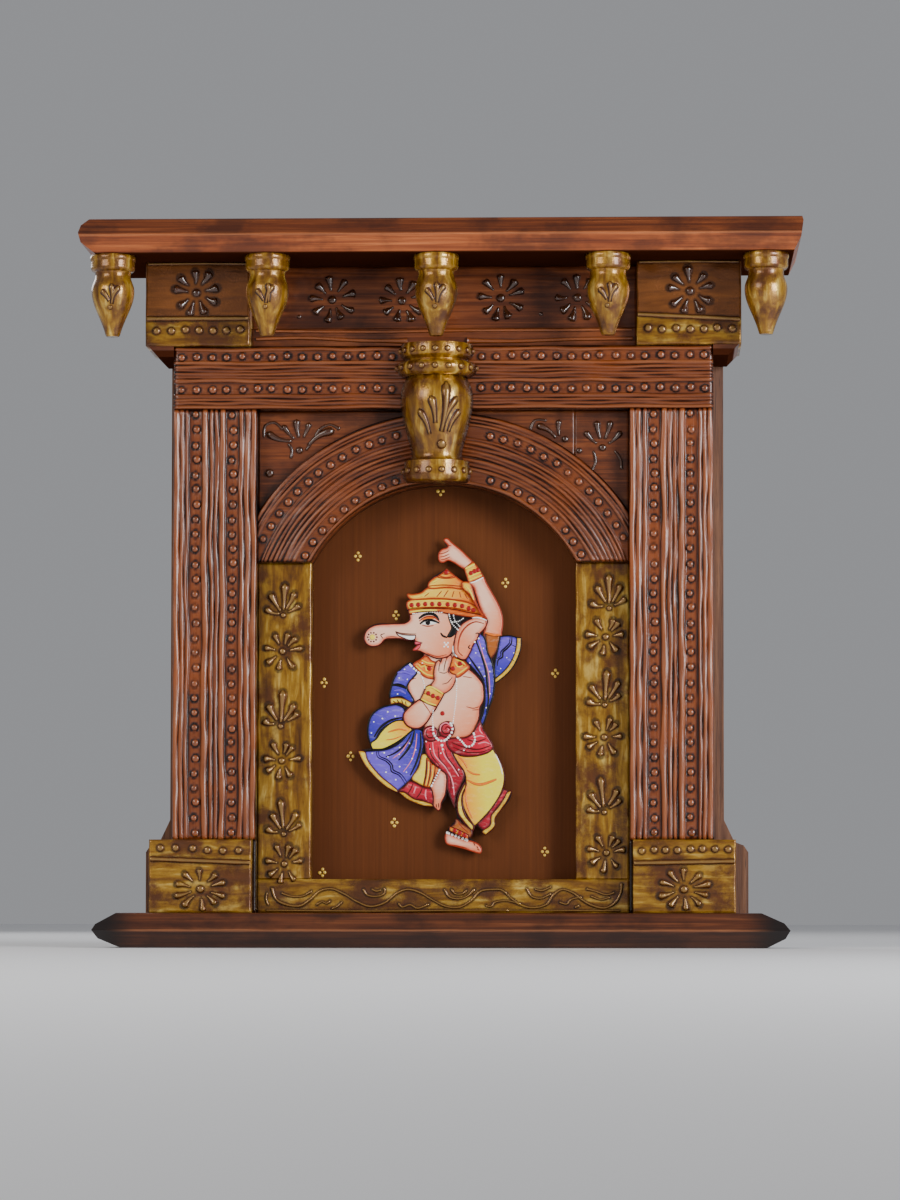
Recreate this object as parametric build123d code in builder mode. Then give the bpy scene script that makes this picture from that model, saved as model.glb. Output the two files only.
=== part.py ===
"""Wall-hung carved wooden temple window (jharokha) with a painted dancing Ganesha in its niche.

The frame: +X to the viewer's right, +Z up, the viewer in front at -Y, the wall behind at Y = 0.
The origin is the middle of the back face. In this file "out" is a distance from the wall, towards
the viewer, and "level" is a height above the underside of the bottom shelf.
"""
from build123d import *
import math
import os

os.makedirs("parts", exist_ok=True)

# ---------------------------------------------------------------- driving dimensions, in mm
HEIGHT = 614.0            # underside of the bottom shelf to the top of the top shelf
TOP_WIDTH = 610.0
TOP_DEPTH = 150.0
BASE_WIDTH = 586.0
BASE_DEPTH = 130.0
SHELF_THICKNESS = 29.5

BACK_HALF = 240.0         # half width of the back board
BACK_THICKNESS = 9.0
CARCASS_HALF = 230.0      # half width over the pillars
PILLAR_INNER = 158.5      # where the pillars stop and the niche frame begins
PILLAR_BACK = 45.0
PILLAR_FACE = 87.0        # bare wood, under the clay ridges and beads
PLINTH_TOP = 91.5
PLINTH_FACE = 98.0
ENTABLATURE_LOW = 458.4
ENTABLATURE_HIGH = 512.8
FILLET_HIGH = 529.5
SHELF_LOW = HEIGHT - SHELF_THICKNESS

FRAME_FACE = 72.0         # face of the golden niche frame and of the corner boards over it
NICHE_HALF = 112.9
NICHE_LOW = 58.2
SPRING_LEVEL = 328.4      # where the arch rests on the golden frame
ARCH_CENTRE = 267.4
ARCH_INNER = 128.8
ARCH_OUTER = 189.3
ARCH_FACE = 80.0

PANEL_BACK = 40.0
PANEL_FACE = 45.0
FIGURE_BACK = 51.0
FIGURE_FACE = 55.0

BEAD_RADIUS = 3.4
BEAD_PITCH = 13.0
RIDGE_RADIUS = 2.1
RELIEF_HEIGHT = 2.2

PENDANT_OUT = 125.0
PENDANT_LENGTH = 68.4
PENDANT_PLACES = (-278.0, -147.0, -4.0, 141.0, 274.0)
DOWEL_RADIUS = 4.0
DOWEL_GAP = 0.1

URN_X = -5.0
URN_BACK = 89.2

BASE = -HEIGHT / 2
SIDES = (("left", -1), ("right", 1))


# ---------------------------------------------------------------- helpers
def facing(out):
    """The plane parallel to the wall, at a distance out from it. Local x is X, local y is the level."""
    return Plane(origin=(0, -out, BASE), x_dir=(1, 0, 0), z_dir=(0, -1, 0))


def lying(level):
    """A level plane, with local x along X and local y along Y."""
    return Plane.XY.offset(BASE + level)


def save(piece, label):
    piece.part.label = label
    export_step(piece.part, f"parts/{label}.step")


def board(x_low, x_high, low, high, back, face):
    """A plain rectangular board, from its back face to its front face."""
    with BuildPart() as piece:
        with BuildSketch(facing(back)):
            with Locations(((x_low + x_high) / 2, (low + high) / 2)):
                Rectangle(abs(x_high - x_low), high - low)
        extrude(amount=face - back)
    return piece


def row(start, end, pitch):
    """Evenly spaced places from start to end, at about the given pitch."""
    steps = max(1, round(abs(end - start) / pitch))
    return [start + (end - start) * i / steps for i in range(steps + 1)]


def beads(places, face, radius=BEAD_RADIUS):
    """Clay beads pressed on a face: one dome for each (x, level)."""
    with BuildPart(facing(face)) as group:
        with Locations(*places):
            Sphere(radius, arc_size1=0, align=(Align.CENTER, Align.CENTER, Align.MIN))
    return group


def petal_outline(length, width, mode=Mode.PRIVATE):
    """A teardrop lying along +X, with its point at the origin."""
    with BuildSketch(mode=mode) as outline:
        with Locations((length - width / 2, 0)):
            Circle(width / 2)
        with Locations((width / 8, 0)):
            Circle(width / 8)
        make_hull()
    return outline.sketch


def flowers(places, face, petals=8, radius=21.0, width=5.4, turn=90.0):
    """Clay flowers on a face: teardrop petals around a dot, for each (x, level)."""
    drop = petal_outline(radius * 0.6, width)
    with BuildPart() as group:
        with BuildSketch(facing(face)):
            with Locations(*places):
                Circle(width * 0.5)
                with PolarLocations(radius * 0.4, petals, start_angle=turn):
                    add(drop)
        extrude(amount=RELIEF_HEIGHT)
    return group


def bore(piece, x, out, low, high, radius):
    """Cuts a vertical round hole between two levels."""
    with BuildPart() as hole:
        with BuildSketch(lying(low)):
            with Locations((x, -out)):
                Circle(radius)
        extrude(amount=high - low)
    piece.part = piece.part - hole.part


# ---------------------------------------------------------------- shelves
NOSE_DEPTH = 8.0          # the front edge swells to a crease at mid thickness


def shelf(depth, low, high, silhouette):
    """A shelf with a creased front edge, trimmed to a silhouette of (x, level) points."""
    crease = (low + high) / 2
    reach = TOP_WIDTH / 2
    section_plane = Plane(origin=(-reach, 0, BASE), x_dir=(0, -1, 0), z_dir=(-1, 0, 0))
    with BuildPart() as piece:
        with BuildSketch(section_plane):
            with BuildLine():
                Polyline((0, low), (depth - NOSE_DEPTH, low), (depth, crease),
                         (depth - NOSE_DEPTH, high), (0, high), close=True)
            make_face()
            fillet(vertices().group_by(Axis.X)[-2], radius=3)
        extrude(amount=-2 * reach)
        with BuildSketch(facing(0)):
            with BuildLine():
                Polyline(*silhouette, close=True)
            make_face()
        extrude(amount=depth + 1, mode=Mode.INTERSECT)
    return piece


top_half = TOP_WIDTH / 2
top_shelf = shelf(TOP_DEPTH, SHELF_LOW, HEIGHT, [
    (-top_half + 14, SHELF_LOW), (-top_half + 2, SHELF_LOW + 9), (-top_half, SHELF_LOW + 17),
    (-top_half + 2, HEIGHT - 6), (-top_half + 9, HEIGHT),
    (top_half - 1, HEIGHT), (top_half, HEIGHT - 4), (top_half - 2, HEIGHT - 18),
    (top_half - 8, SHELF_LOW)])

base_half = BASE_WIDTH / 2
bottom_shelf = shelf(BASE_DEPTH, 0, SHELF_THICKNESS, [
    (-base_half + 24, 0), (-base_half + 5, 8), (-base_half, 15), (-base_half + 3, 20),
    (-base_half + 20, SHELF_THICKNESS),
    (base_half - 24, SHELF_THICKNESS), (base_half - 5, 21), (base_half, 15),
    (base_half - 4, 8), (base_half - 20, 0)])


# ---------------------------------------------------------------- carcass behind the face
HANGER_X = 160.0
HANGER_LEVEL = 550.0      # middle of the hanger plates, near the top of the back board
HANGER_THICKNESS = 2.0
HANGER_WIDTH = 20.0
HANGER_LENGTH = 52.0
KEYHOLE_RADIUS = 4.5
KEYHOLE_SLOT = 4.6
KEYHOLE_RISE = 11.0
HANGER_SCREW_REACH = 20.0
SCREW_RADIUS = 1.5
SCREW_HEAD_RADIUS = 3.0
SCREW_GAP = 0.1
WALL_THICKNESS = 12.0
CARCASS_TOP = 500.8

hanger_places = [(side * HANGER_X, HANGER_LEVEL) for name, side in SIDES]
hanger_screw_places = [(x, HANGER_LEVEL + rise) for x, level in hanger_places
                       for rise in (-HANGER_SCREW_REACH, HANGER_SCREW_REACH)]
wall_screw_places = [(side * (CARCASS_HALF - WALL_THICKNESS / 2), level)
                     for name, side in SIDES for level in (130.0, 300.0, 470.0)]


def screw_cuts(places, depth, radius):
    """Round holes with countersinks, bored from the wall side, for each (x, level)."""
    with BuildPart() as cuts:
        with BuildSketch(facing(0)):
            with Locations(*places):
                Circle(radius)
        extrude(amount=depth)
        for x, level in places:
            with BuildSketch(facing(0)):
                with Locations((x, level)):
                    Circle(radius + SCREW_HEAD_RADIUS - SCREW_RADIUS)
            with BuildSketch(facing(SCREW_HEAD_RADIUS - SCREW_RADIUS)):
                with Locations((x, level)):
                    Circle(radius)
            loft()
    return cuts


def keyhole(x, level):
    """The keyhole of a hanger: a round hole for the screw head and a slot above it."""
    with Locations((x, level - KEYHOLE_RISE / 2)):
        Circle(KEYHOLE_RADIUS)
    with Locations((x, level)):
        SlotCenterToCenter(KEYHOLE_RISE, KEYHOLE_SLOT, rotation=90)


with BuildPart() as back_board:
    with BuildSketch(facing(0)):
        with BuildLine():
            Polyline((-261, SHELF_THICKNESS), (261, SHELF_THICKNESS), (261, 82), (257, 88),
                     (249, 91), (BACK_HALF, 110), (BACK_HALF, SHELF_LOW),
                     (-BACK_HALF, SHELF_LOW), (-BACK_HALF, 110), (-249, 91),
                     (-257, 88), (-261, 82), close=True)
        make_face()
    extrude(amount=BACK_THICKNESS)
    with BuildSketch(facing(0)):
        with Locations(*hanger_places):
            RectangleRounded(HANGER_WIDTH, HANGER_LENGTH, 3)
    extrude(amount=HANGER_THICKNESS, mode=Mode.SUBTRACT)
    with BuildSketch(facing(HANGER_THICKNESS)):
        with Locations(*hanger_places):
            SlotOverall(KEYHOLE_RISE + 14, 12, rotation=90)
    extrude(amount=5, mode=Mode.SUBTRACT)
    with BuildSketch(facing(0)):
        with Locations(*hanger_screw_places):
            Circle(SCREW_RADIUS + SCREW_GAP)
    extrude(amount=8, mode=Mode.SUBTRACT)
    add(screw_cuts(wall_screw_places, BACK_THICKNESS, SCREW_RADIUS + SCREW_GAP).part,
        mode=Mode.SUBTRACT)

hanger_plates = {}
for name, side in SIDES:
    with BuildPart() as plate:
        with BuildSketch(facing(0)):
            with Locations((side * HANGER_X, HANGER_LEVEL)):
                RectangleRounded(HANGER_WIDTH, HANGER_LENGTH, 3)
        extrude(amount=HANGER_THICKNESS)
        with BuildSketch(facing(0)):
            keyhole(side * HANGER_X, HANGER_LEVEL)
        extrude(amount=HANGER_THICKNESS, mode=Mode.SUBTRACT)
        own_screws = [place for place in hanger_screw_places if place[0] * side > 0]
        add(screw_cuts(own_screws, HANGER_THICKNESS, SCREW_RADIUS + SCREW_GAP).part,
            mode=Mode.SUBTRACT)
    hanger_plates[name] = plate


def screws(places, length):
    """Countersunk wood screws driven from the wall side, flush with the back face."""
    with BuildPart() as group:
        for x, level in places:
            with BuildSketch(Plane(origin=(x, 0, BASE + level), x_dir=(1, 0, 0), z_dir=(0, 0, 1))):
                with BuildLine():
                    Polyline((0, 0), (SCREW_HEAD_RADIUS, 0),
                             (SCREW_RADIUS, SCREW_RADIUS - SCREW_HEAD_RADIUS),
                             (SCREW_RADIUS, 2 - length), (0, -length), close=True)
                make_face()
            revolve(axis=Axis((x, 0, BASE + level), (0, 1, 0)))
    return group


hanger_screws = screws(hanger_screw_places, 7.5)
back_screws = screws(wall_screw_places, 24.0)

side_walls = {}
battens = {}
for name, side in SIDES:
    wall = board(side * (CARCASS_HALF - WALL_THICKNESS), side * CARCASS_HALF,
                 PLINTH_TOP, CARCASS_TOP, BACK_THICKNESS, PILLAR_BACK)
    with BuildPart() as pilot_holes:
        with BuildSketch(facing(BACK_THICKNESS)):
            with Locations(*[place for place in wall_screw_places if place[0] * side > 0]):
                Circle(SCREW_RADIUS + SCREW_GAP)
        extrude(amount=17)
    wall.part = wall.part - pilot_holes.part
    side_walls[name] = wall
    battens[name] = board(side * 146, side * PILLAR_INNER, SHELF_THICKNESS, ENTABLATURE_LOW,
                          BACK_THICKNESS, PANEL_BACK)
carcass_top = board(-CARCASS_HALF, CARCASS_HALF, CARCASS_TOP, ENTABLATURE_HIGH,
                    BACK_THICKNESS, PILLAR_BACK)
niche_panel = board(-157, 157, SHELF_THICKNESS, ENTABLATURE_LOW, PANEL_BACK, PANEL_FACE)


# ---------------------------------------------------------------- pillars, plinths, entablature
PILLAR_RIDGES = (162.0, 166.5, 171.0, 188.5, 193.0, 197.5, 202.0, 219.0, 223.5, 227.3)
PILLAR_BEAD_COLUMNS = (180.0, 210.5)
ENTABLATURE_RIDGES = (461.5, 466.0, 470.0, 482.5, 487.0, 491.5, 496.5, 510.3)
ENTABLATURE_BEAD_ROWS = (476.0, 503.8)
TONGUE = 3.0              # the pillar's inner edge runs on down beside the plinth

pillars = {}
pillar_beads = {}
plinths = {}
plinth_beads = {}
for name, side in SIDES:
    with BuildPart() as pillar:
        with BuildSketch(lying(PLINTH_TOP)):
            with Locations((side * (PILLAR_INNER + CARCASS_HALF) / 2,
                            -(PILLAR_BACK + PILLAR_FACE) / 2)):
                Rectangle(CARCASS_HALF - PILLAR_INNER, PILLAR_FACE - PILLAR_BACK)
            with Locations(*[(side * x, -PILLAR_FACE) for x in PILLAR_RIDGES]):
                Circle(RIDGE_RADIUS)
        extrude(amount=ENTABLATURE_LOW - PLINTH_TOP)
        with BuildSketch(lying(SHELF_THICKNESS)):
            with Locations((side * (PILLAR_INNER + TONGUE / 2), -(PILLAR_BACK + PILLAR_FACE) / 2)):
                Rectangle(TONGUE, PILLAR_FACE - PILLAR_BACK)
        extrude(amount=PLINTH_TOP - SHELF_THICKNESS)
    pillars[name] = pillar
    bead_levels = row(PLINTH_TOP + 6, ENTABLATURE_LOW - 5, BEAD_PITCH)
    pillar_beads[name] = beads([(side * x, level) for x in PILLAR_BEAD_COLUMNS
                                for level in bead_levels], PILLAR_FACE)
    plinths[name] = board(side * (PILLAR_INNER + TONGUE), side * 248.3, SHELF_THICKNESS,
                          PLINTH_TOP, BACK_THICKNESS, PLINTH_FACE)
    count_pitch = 13.5 if side < 0 else 10.8
    plinth_beads[name] = beads([(side * x, 81.5) for x in row(172.0, 240.0, count_pitch)],
                               PLINTH_FACE)

with BuildPart() as entablature:
    section_plane = Plane(origin=(-CARCASS_HALF, 0, BASE), x_dir=(0, -1, 0), z_dir=(-1, 0, 0))
    with BuildSketch(section_plane):
        with Locations(((PILLAR_BACK + PILLAR_FACE) / 2, (ENTABLATURE_LOW + ENTABLATURE_HIGH) / 2)):
            Rectangle(PILLAR_FACE - PILLAR_BACK, ENTABLATURE_HIGH - ENTABLATURE_LOW)
        with Locations(*[(PILLAR_FACE, level) for level in ENTABLATURE_RIDGES]):
            Circle(RIDGE_RADIUS)
    extrude(amount=-2 * CARCASS_HALF)

URN_HALF_GAP = 42.0       # the bead rows and ridges of the entablature stop at the urn
entablature_beads = beads([(side * x + URN_X * (x < 50), level)
                           for name, side in SIDES
                           for level in ENTABLATURE_BEAD_ROWS
                           for x in row(URN_HALF_GAP, CARCASS_HALF - 7, BEAD_PITCH)], PILLAR_FACE)


# ---------------------------------------------------------------- frieze under the top shelf
BLOCK_INNER = 165.0
BLOCK_OUTER = 254.0
BLOCK_FACE = 92.0
BAND_HIGH = 539.0         # the golden band with its row of beads, at the foot of each block
FRIEZE_FACE = 61.0
FILLET_FACE = 75.0

frieze_board = board(-BLOCK_INNER, BLOCK_INNER, FILLET_HIGH, SHELF_LOW, PILLAR_BACK, FRIEZE_FACE)
frieze_fillet = board(-BLOCK_INNER, BLOCK_INNER, ENTABLATURE_HIGH, FILLET_HIGH,
                      PILLAR_BACK, FILLET_FACE)
frieze_flowers = flowers([(-95.0, 557.0), (-38.0, 556.0), (52.0, 557.0), (110.0, 557.0)],
                         FRIEZE_FACE, petals=8, radius=20.0)

frieze_blocks = {}
block_mouldings = {}
block_beads = {}
for name, side in SIDES:
    with BuildPart() as block:
        with BuildSketch(facing(BACK_THICKNESS)):
            with Locations((side * (BLOCK_INNER + BLOCK_OUTER) / 2,
                            (ENTABLATURE_HIGH + SHELF_LOW) / 2)):
                Rectangle(BLOCK_OUTER - BLOCK_INNER, SHELF_LOW - ENTABLATURE_HIGH)
        extrude(amount=BLOCK_FACE - BACK_THICKNESS)
        with BuildSketch(facing(BLOCK_FACE)):
            with Locations((side * (BLOCK_INNER + BLOCK_OUTER) / 2, BAND_HIGH - 1.5)):
                Rectangle(BLOCK_OUTER - BLOCK_INNER, 3)
        extrude(amount=2)
    frieze_blocks[name] = block
    with BuildPart() as moulding:
        with BuildSketch(facing(BACK_THICKNESS)):
            with BuildLine():
                Polyline((side * CARCASS_HALF, 503.6), (side * 243, 503.6),
                         (side * 252, ENTABLATURE_HIGH), (side * CARCASS_HALF, ENTABLATURE_HIGH),
                         close=True)
            make_face()
        extrude(amount=PILLAR_FACE + 3 - BACK_THICKNESS)
    block_mouldings[name] = moulding
    block_beads[name] = beads([(side * x, 527.0) for x in row(173.0, 246.0, 12.2)], BLOCK_FACE)

block_flowers = flowers([(side * (BLOCK_INNER + BLOCK_OUTER) / 2, 559.0) for name, side in SIDES],
                        BLOCK_FACE, petals=8, radius=20.0)
plinth_flowers = flowers([(side * 207.0, 50.5) for name, side in SIDES],
                         PLINTH_FACE, petals=12, radius=21.0, width=4.6)


# ---------------------------------------------------------------- niche frame, arch, corner boards
SPANDREL_JOINT = 112.0    # the right corner board is pieced from two boards here
ARCH_RIDGES = (130.4, 141.5, 146.5, 151.5, 156.5, 161.5, 166.5, 181.0, 186.0)
ARCH_BEAD_ROWS = (135.5, 173.5)
URN_ARCH_GAP = 36.0       # the arch's beads stop at the urn

frame_uprights = {}
for name, side in SIDES:
    frame_uprights[name] = board(side * NICHE_HALF, side * PILLAR_INNER, NICHE_LOW, SPRING_LEVEL,
                                 PANEL_FACE, FRAME_FACE)
frame_rail = board(-PILLAR_INNER, PILLAR_INNER, SHELF_THICKNESS, NICHE_LOW,
                   PANEL_FACE, FRAME_FACE)


def corner_board(x_near, x_far):
    """A board of the corner over the arch, hollowed by the arch's inner curve."""
    piece = board(x_near, x_far, SPRING_LEVEL, ENTABLATURE_LOW, PANEL_FACE, FRAME_FACE)
    with BuildPart() as curve:
        with BuildSketch(facing(PANEL_FACE)):
            with Locations((0, ARCH_CENTRE)):
                Circle(ARCH_INNER)
        extrude(amount=FRAME_FACE - PANEL_FACE)
    piece.part = piece.part - curve.part
    return piece


spandrel_left = corner_board(0, -PILLAR_INNER)
spandrel_right = corner_board(0, SPANDREL_JOINT)
spandrel_right_outer = corner_board(SPANDREL_JOINT, PILLAR_INNER)

arches = {}
arch_beads = {}
for name, side in SIDES:
    with BuildPart() as arch:
        with BuildSketch(facing(FRAME_FACE)) as band:
            with Locations((0, ARCH_CENTRE)):
                Circle(ARCH_OUTER)
                Circle(ARCH_INNER, mode=Mode.SUBTRACT)
            with Locations((side * PILLAR_INNER / 2, (SPRING_LEVEL + ENTABLATURE_LOW) / 2)):
                Rectangle(PILLAR_INNER, ENTABLATURE_LOW - SPRING_LEVEL, mode=Mode.INTERSECT)
        extrude(amount=ARCH_FACE - FRAME_FACE)
        with BuildSketch(facing(ARCH_FACE)):
            with Locations((0, ARCH_CENTRE)):
                for radius in ARCH_RIDGES:
                    Circle(radius + 1.6)
                    Circle(radius - 1.6, mode=Mode.SUBTRACT)
            with Locations((side * PILLAR_INNER / 2, (SPRING_LEVEL + ENTABLATURE_LOW) / 2)):
                Rectangle(PILLAR_INNER, ENTABLATURE_LOW - SPRING_LEVEL, mode=Mode.INTERSECT)
        extrude(amount=1.8)
    arches[name] = arch
    places = []
    for radius in ARCH_BEAD_ROWS:
        lowest = math.degrees(math.asin((SPRING_LEVEL + 6 - ARCH_CENTRE) / radius))
        edge = math.degrees(math.acos(min(1.0, (PILLAR_INNER - 5) / radius)))
        start = max(lowest, edge)
        end = math.degrees(math.acos(URN_ARCH_GAP / radius))
        steps = round(math.radians(end - start) * radius / 12.6)
        for i in range(steps + 1):
            angle = math.radians(start + (end - start) * i / steps)
            places.append((side * radius * math.cos(angle), ARCH_CENTRE + radius * math.sin(angle)))
    arch_beads[name] = beads(places, ARCH_FACE)


# ---------------------------------------------------------------- clay relief on the golden frame
def sprigs(places, face):
    """Five-petalled sprigs that fan upwards from a dot, for each (x, level) of the dot."""
    drop = petal_outline(17.0, 4.6)
    with BuildPart() as group:
        with BuildSketch(facing(face)):
            with Locations(*places):
                Circle(2.4)
                with PolarLocations(4.5, 5, start_angle=30, angular_range=120, endpoint=True):
                    add(drop)
        extrude(amount=RELIEF_HEIGHT)
    return group


UPRIGHT_MIDDLE = (NICHE_HALF + PILLAR_INNER) / 2
SPRIG_LEVELS = {"left": (284.0, 189.0, 98.0), "right": (290.0, 207.0, 117.0)}
FLOWER_LEVELS = {"left": (253.0, 159.5, 71.5), "right": (265.0, 179.0, 82.0)}

upright_relief = {}
for name, side in SIDES:
    x = side * UPRIGHT_MIDDLE
    relief = flowers([(x, level) for level in FLOWER_LEVELS[name]], FRAME_FACE,
                     petals=9, radius=16.5, width=4.4)
    with BuildPart() as group:
        add(relief.part)
        add(sprigs([(x, level) for level in SPRIG_LEVELS[name]], FRAME_FACE).part)
    upright_relief[name] = group

VINE_HALF = 148.0
VINE_RISE = 6.5
VINE_WAVE = 70.5
VINE_LEVEL = 42.5

with BuildPart() as rail_vine:
    with BuildSketch(facing(FRAME_FACE)):
        with BuildLine():
            wave = [(-VINE_HALF + step * VINE_WAVE / 4,
                     VINE_LEVEL + VINE_RISE * math.cos(math.pi * step / 2 + 0.9))
                    for step in range(round(8 * VINE_HALF / VINE_WAVE) + 1)]
            line = Spline(*wave)
        trace(line_width=2.4)
    extrude(amount=1.6)

spandrel_relief = sprigs([(-122.0, 430.0), (136.0, 428.0)], FRAME_FACE)


# ---------------------------------------------------------------- painted figure in the niche
FIGURE_STROKES = (
    # raised forearm, from the fingertip down the outer side to the shoulder
    ((0, 350.5), (12, 342), (24, 331), (33, 318), (42, 302), (49.5, 285), (50, 275), (48, 266)),
    # top and rim of the flying shawl end
    ((48, 266), (58, 266.5), (65.5, 264.5)),
    ((65.5, 264.5), (65, 252), (60, 241), (53, 233), (43.5, 226)),
    # shawl down to the hip, then the right hip and knee
    ((43.5, 226), (41, 213), (36, 199), (32.5, 190)),
    ((32.5, 190), (36, 179), (41.5, 170), (49, 158), (52, 148), (50.5, 135)),
    # trailing hem
    ((50.5, 135), (58, 133.5)),
    ((58, 133.5), (53, 122), (44, 111), (42.5, 103), (35, 96.5)),
    ((35, 96.5), (31, 101.5), (26.5, 104.5)),
    # standing foot
    ((26.5, 104.5), (24, 99), (21.5, 94)),
    ((21.5, 94), (28, 90), (31.5, 86), (31.5, 81)),
    ((31.5, 81), (22, 83), (10, 86), (3, 88.5), (1, 94), (4, 102), (11, 109.5)),
    ((11, 109.5), (10.5, 115), (9, 120)),
    # hanging sash and the lifted foot
    ((9, 120), (5, 127), (2, 134)),
    ((2, 134), (0.5, 126), (-3, 121), (-5, 117), (-8, 120.5)),
    # pleats and the fan of the shawl
    ((-8, 120.5), (-18, 121.5), (-27, 125), (-38, 132)),
    ((-38, 132), (-52, 140), (-63, 152), (-74, 168.5)),
    ((-74, 168.5), (-68, 169.5), (-62, 170.5)),
    # shawl round the left hip and the sleeve
    ((-62, 170.5), (-65, 180), (-65, 192), (-58, 202), (-46, 208)),
    ((-46, 208), (-46.5, 219), (-42, 232), (-35, 240), (-28, 243)),
    ((-28, 243), (-21, 247), (-16, 251)),
    # chin, mouth and trunk
    ((-16, 251), (-20, 254), (-27, 254.5)),
    ((-27, 254.5), (-24, 260), (-26, 263)),
    ((-26, 263), (-33, 264), (-38, 266.5)),
    ((-38, 266.5), (-44, 264.5), (-50, 264.5)),
    ((-50, 264.5), (-56, 259), (-62, 257.5), (-68, 262), (-68, 270), (-62, 276), (-48, 277.5),
     (-33, 277.5)),
    ((-33, 277.5), (-29.5, 281), (-29, 286)),
    # crown
    ((-29, 286), (-32.5, 292), (-30.5, 299), (-31.5, 302.5)),
    ((-31.5, 302.5), (-24, 303), (-17, 306), (-13.5, 311)),
    ((-13.5, 311), (-9, 318), (-3, 321.5), (1.5, 324.5)),
    ((1.5, 324.5), (8, 318), (14, 313), (19, 313.5), (19.5, 319), (14, 327), (6, 331.5),
     (-2.5, 329.5)),
    # fist under the pointing finger
    ((-2.5, 329.5), (-5, 334), (-3.5, 340), (3, 343)),
    ((3, 343), (0, 347), (0, 350.5)),
)

with BuildPart() as ganesha_figure:
    with BuildSketch(facing(FIGURE_BACK)):
        with BuildLine():
            for stroke in FIGURE_STROKES:
                if len(stroke) > 2:
                    Spline(*stroke)
                else:
                    Line(*stroke)
        make_face()
    extrude(amount=FIGURE_FACE - FIGURE_BACK)

with BuildPart() as figure_spacers:
    with BuildSketch(facing(PANEL_FACE)):
        with Locations((0, 290), (10, 215), (15, 145)):
            Circle(7)
    extrude(amount=FIGURE_BACK - PANEL_FACE)

DOT_GROUPS = ((-75, 336), (52, 313), (-42, 285), (-104, 227), (95, 235), (-81, 164),
              (-43, 107), (86, 82), (-105, 64), (-4, 392))
DOT_STEP = 2.9
dot_places = [(x + dx, level + dz) for x, level in DOT_GROUPS
              for dx, dz in ((-DOT_STEP, 0), (DOT_STEP, 0), (0, 4), (0, -4))]
panel_dots = beads([place for place in dot_places if place[1] < 395], PANEL_FACE, radius=1.6)


# ---------------------------------------------------------------- turned pendants and the urn
DOWEL_DEPTH = 12.0


def pendant(x):
    """A turned drop: a round collar, a neck, a swelling bulb and a tapered foot with a flat end."""
    with BuildPart() as piece:
        with BuildSketch(Plane(origin=(x, -PENDANT_OUT, BASE + SHELF_LOW), x_dir=(1, 0, 0),
                               z_dir=(0, -1, 0))):
            with BuildLine():
                Line((0, 0), (18.8, 0))
                Spline((18.8, 0), (19.4, -2), (18.6, -5))
                Line((18.6, -5), (18.6, -9))
                Spline((18.6, -9), (18.2, -12), (15.4, -14))
                Spline((15.4, -14), (15.2, -19), (17.6, -26), (18.0, -32), (16.4, -40),
                       (11.6, -52), (8.0, -61), (6.3, -66.5))
                Line((6.3, -66.5), (5.4, -PENDANT_LENGTH))
                Line((5.4, -PENDANT_LENGTH), (0, -PENDANT_LENGTH))
                Line((0, -PENDANT_LENGTH), (0, 0))
            make_face()
        revolve(axis=Axis((x, -PENDANT_OUT, 0), (0, 0, 1)))
        with BuildSketch(lying(SHELF_LOW)):
            with Locations((x, -PENDANT_OUT)):
                Circle(DOWEL_RADIUS + DOWEL_GAP)
        extrude(amount=-DOWEL_DEPTH, mode=Mode.SUBTRACT)
    return piece


pendants = [pendant(x) for x in PENDANT_PLACES]

with BuildPart() as pendant_dowels:
    with BuildSketch(lying(SHELF_LOW - DOWEL_DEPTH)):
        with Locations(*[(x, -PENDANT_OUT) for x in PENDANT_PLACES]):
            Circle(DOWEL_RADIUS)
    extrude(amount=2 * DOWEL_DEPTH)
for x in PENDANT_PLACES:
    bore(top_shelf, x, PENDANT_OUT, SHELF_LOW, SHELF_LOW + DOWEL_DEPTH, DOWEL_RADIUS + DOWEL_GAP)

URN_LOW = 394.7
URN_HIGH = 512.6

with BuildPart() as urn_keystone:
    with BuildSketch(Plane(origin=(URN_X, -URN_BACK, BASE), x_dir=(1, 0, 0), z_dir=(0, -1, 0))):
        with BuildLine():
            Line((0, URN_LOW), (25.5, URN_LOW))
            Spline((25.5, URN_LOW), (28.3, 398), (28.7, 404), (27.8, 412.5))
            Spline((27.8, 412.5), (22.5, 414.5), (22.6, 424), (29, 449), (31.3, 465), (28.5, 479),
                   (25, 485))
            Spline((25, 485), (32.0, 487), (34.3, 491.5), (31.5, 497))
            Spline((31.5, 497), (27, 499), (30.3, 502), (31.3, 507), (30.5, URN_HIGH))
            Line((30.5, URN_HIGH), (0, URN_HIGH))
            Line((0, URN_HIGH), (0, URN_LOW))
        make_face()
    revolve(axis=Axis((URN_X, -URN_BACK, 0), (0, 0, 1)))
    with BuildSketch(facing(URN_BACK)):
        with Locations((0, HEIGHT / 2)):
            Rectangle(TOP_WIDTH, HEIGHT)
    extrude(amount=60, mode=Mode.INTERSECT)

with BuildPart() as urn_packing:
    with BuildSketch(facing(ARCH_FACE + 1.8)):
        with Locations((URN_X, (400 + ENTABLATURE_LOW) / 2)):
            Rectangle(40, ENTABLATURE_LOW - 400)
    extrude(amount=URN_BACK - ARCH_FACE - 1.8)


def ring_of_beads(level, radius, count, size):
    """Domes round the front half of the urn, at one level."""
    with BuildPart() as ring:
        for i in range(count):
            angle = math.pi * (0.5 + i) / count
            outward = (math.cos(angle), -math.sin(angle), 0)
            centre = (URN_X + radius * outward[0], -URN_BACK + radius * outward[1], BASE + level)
            with BuildSketch(Plane(origin=centre, z_dir=outward)):
                Circle(size)
            extrude(amount=1.8, taper=30)
    return ring


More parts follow.
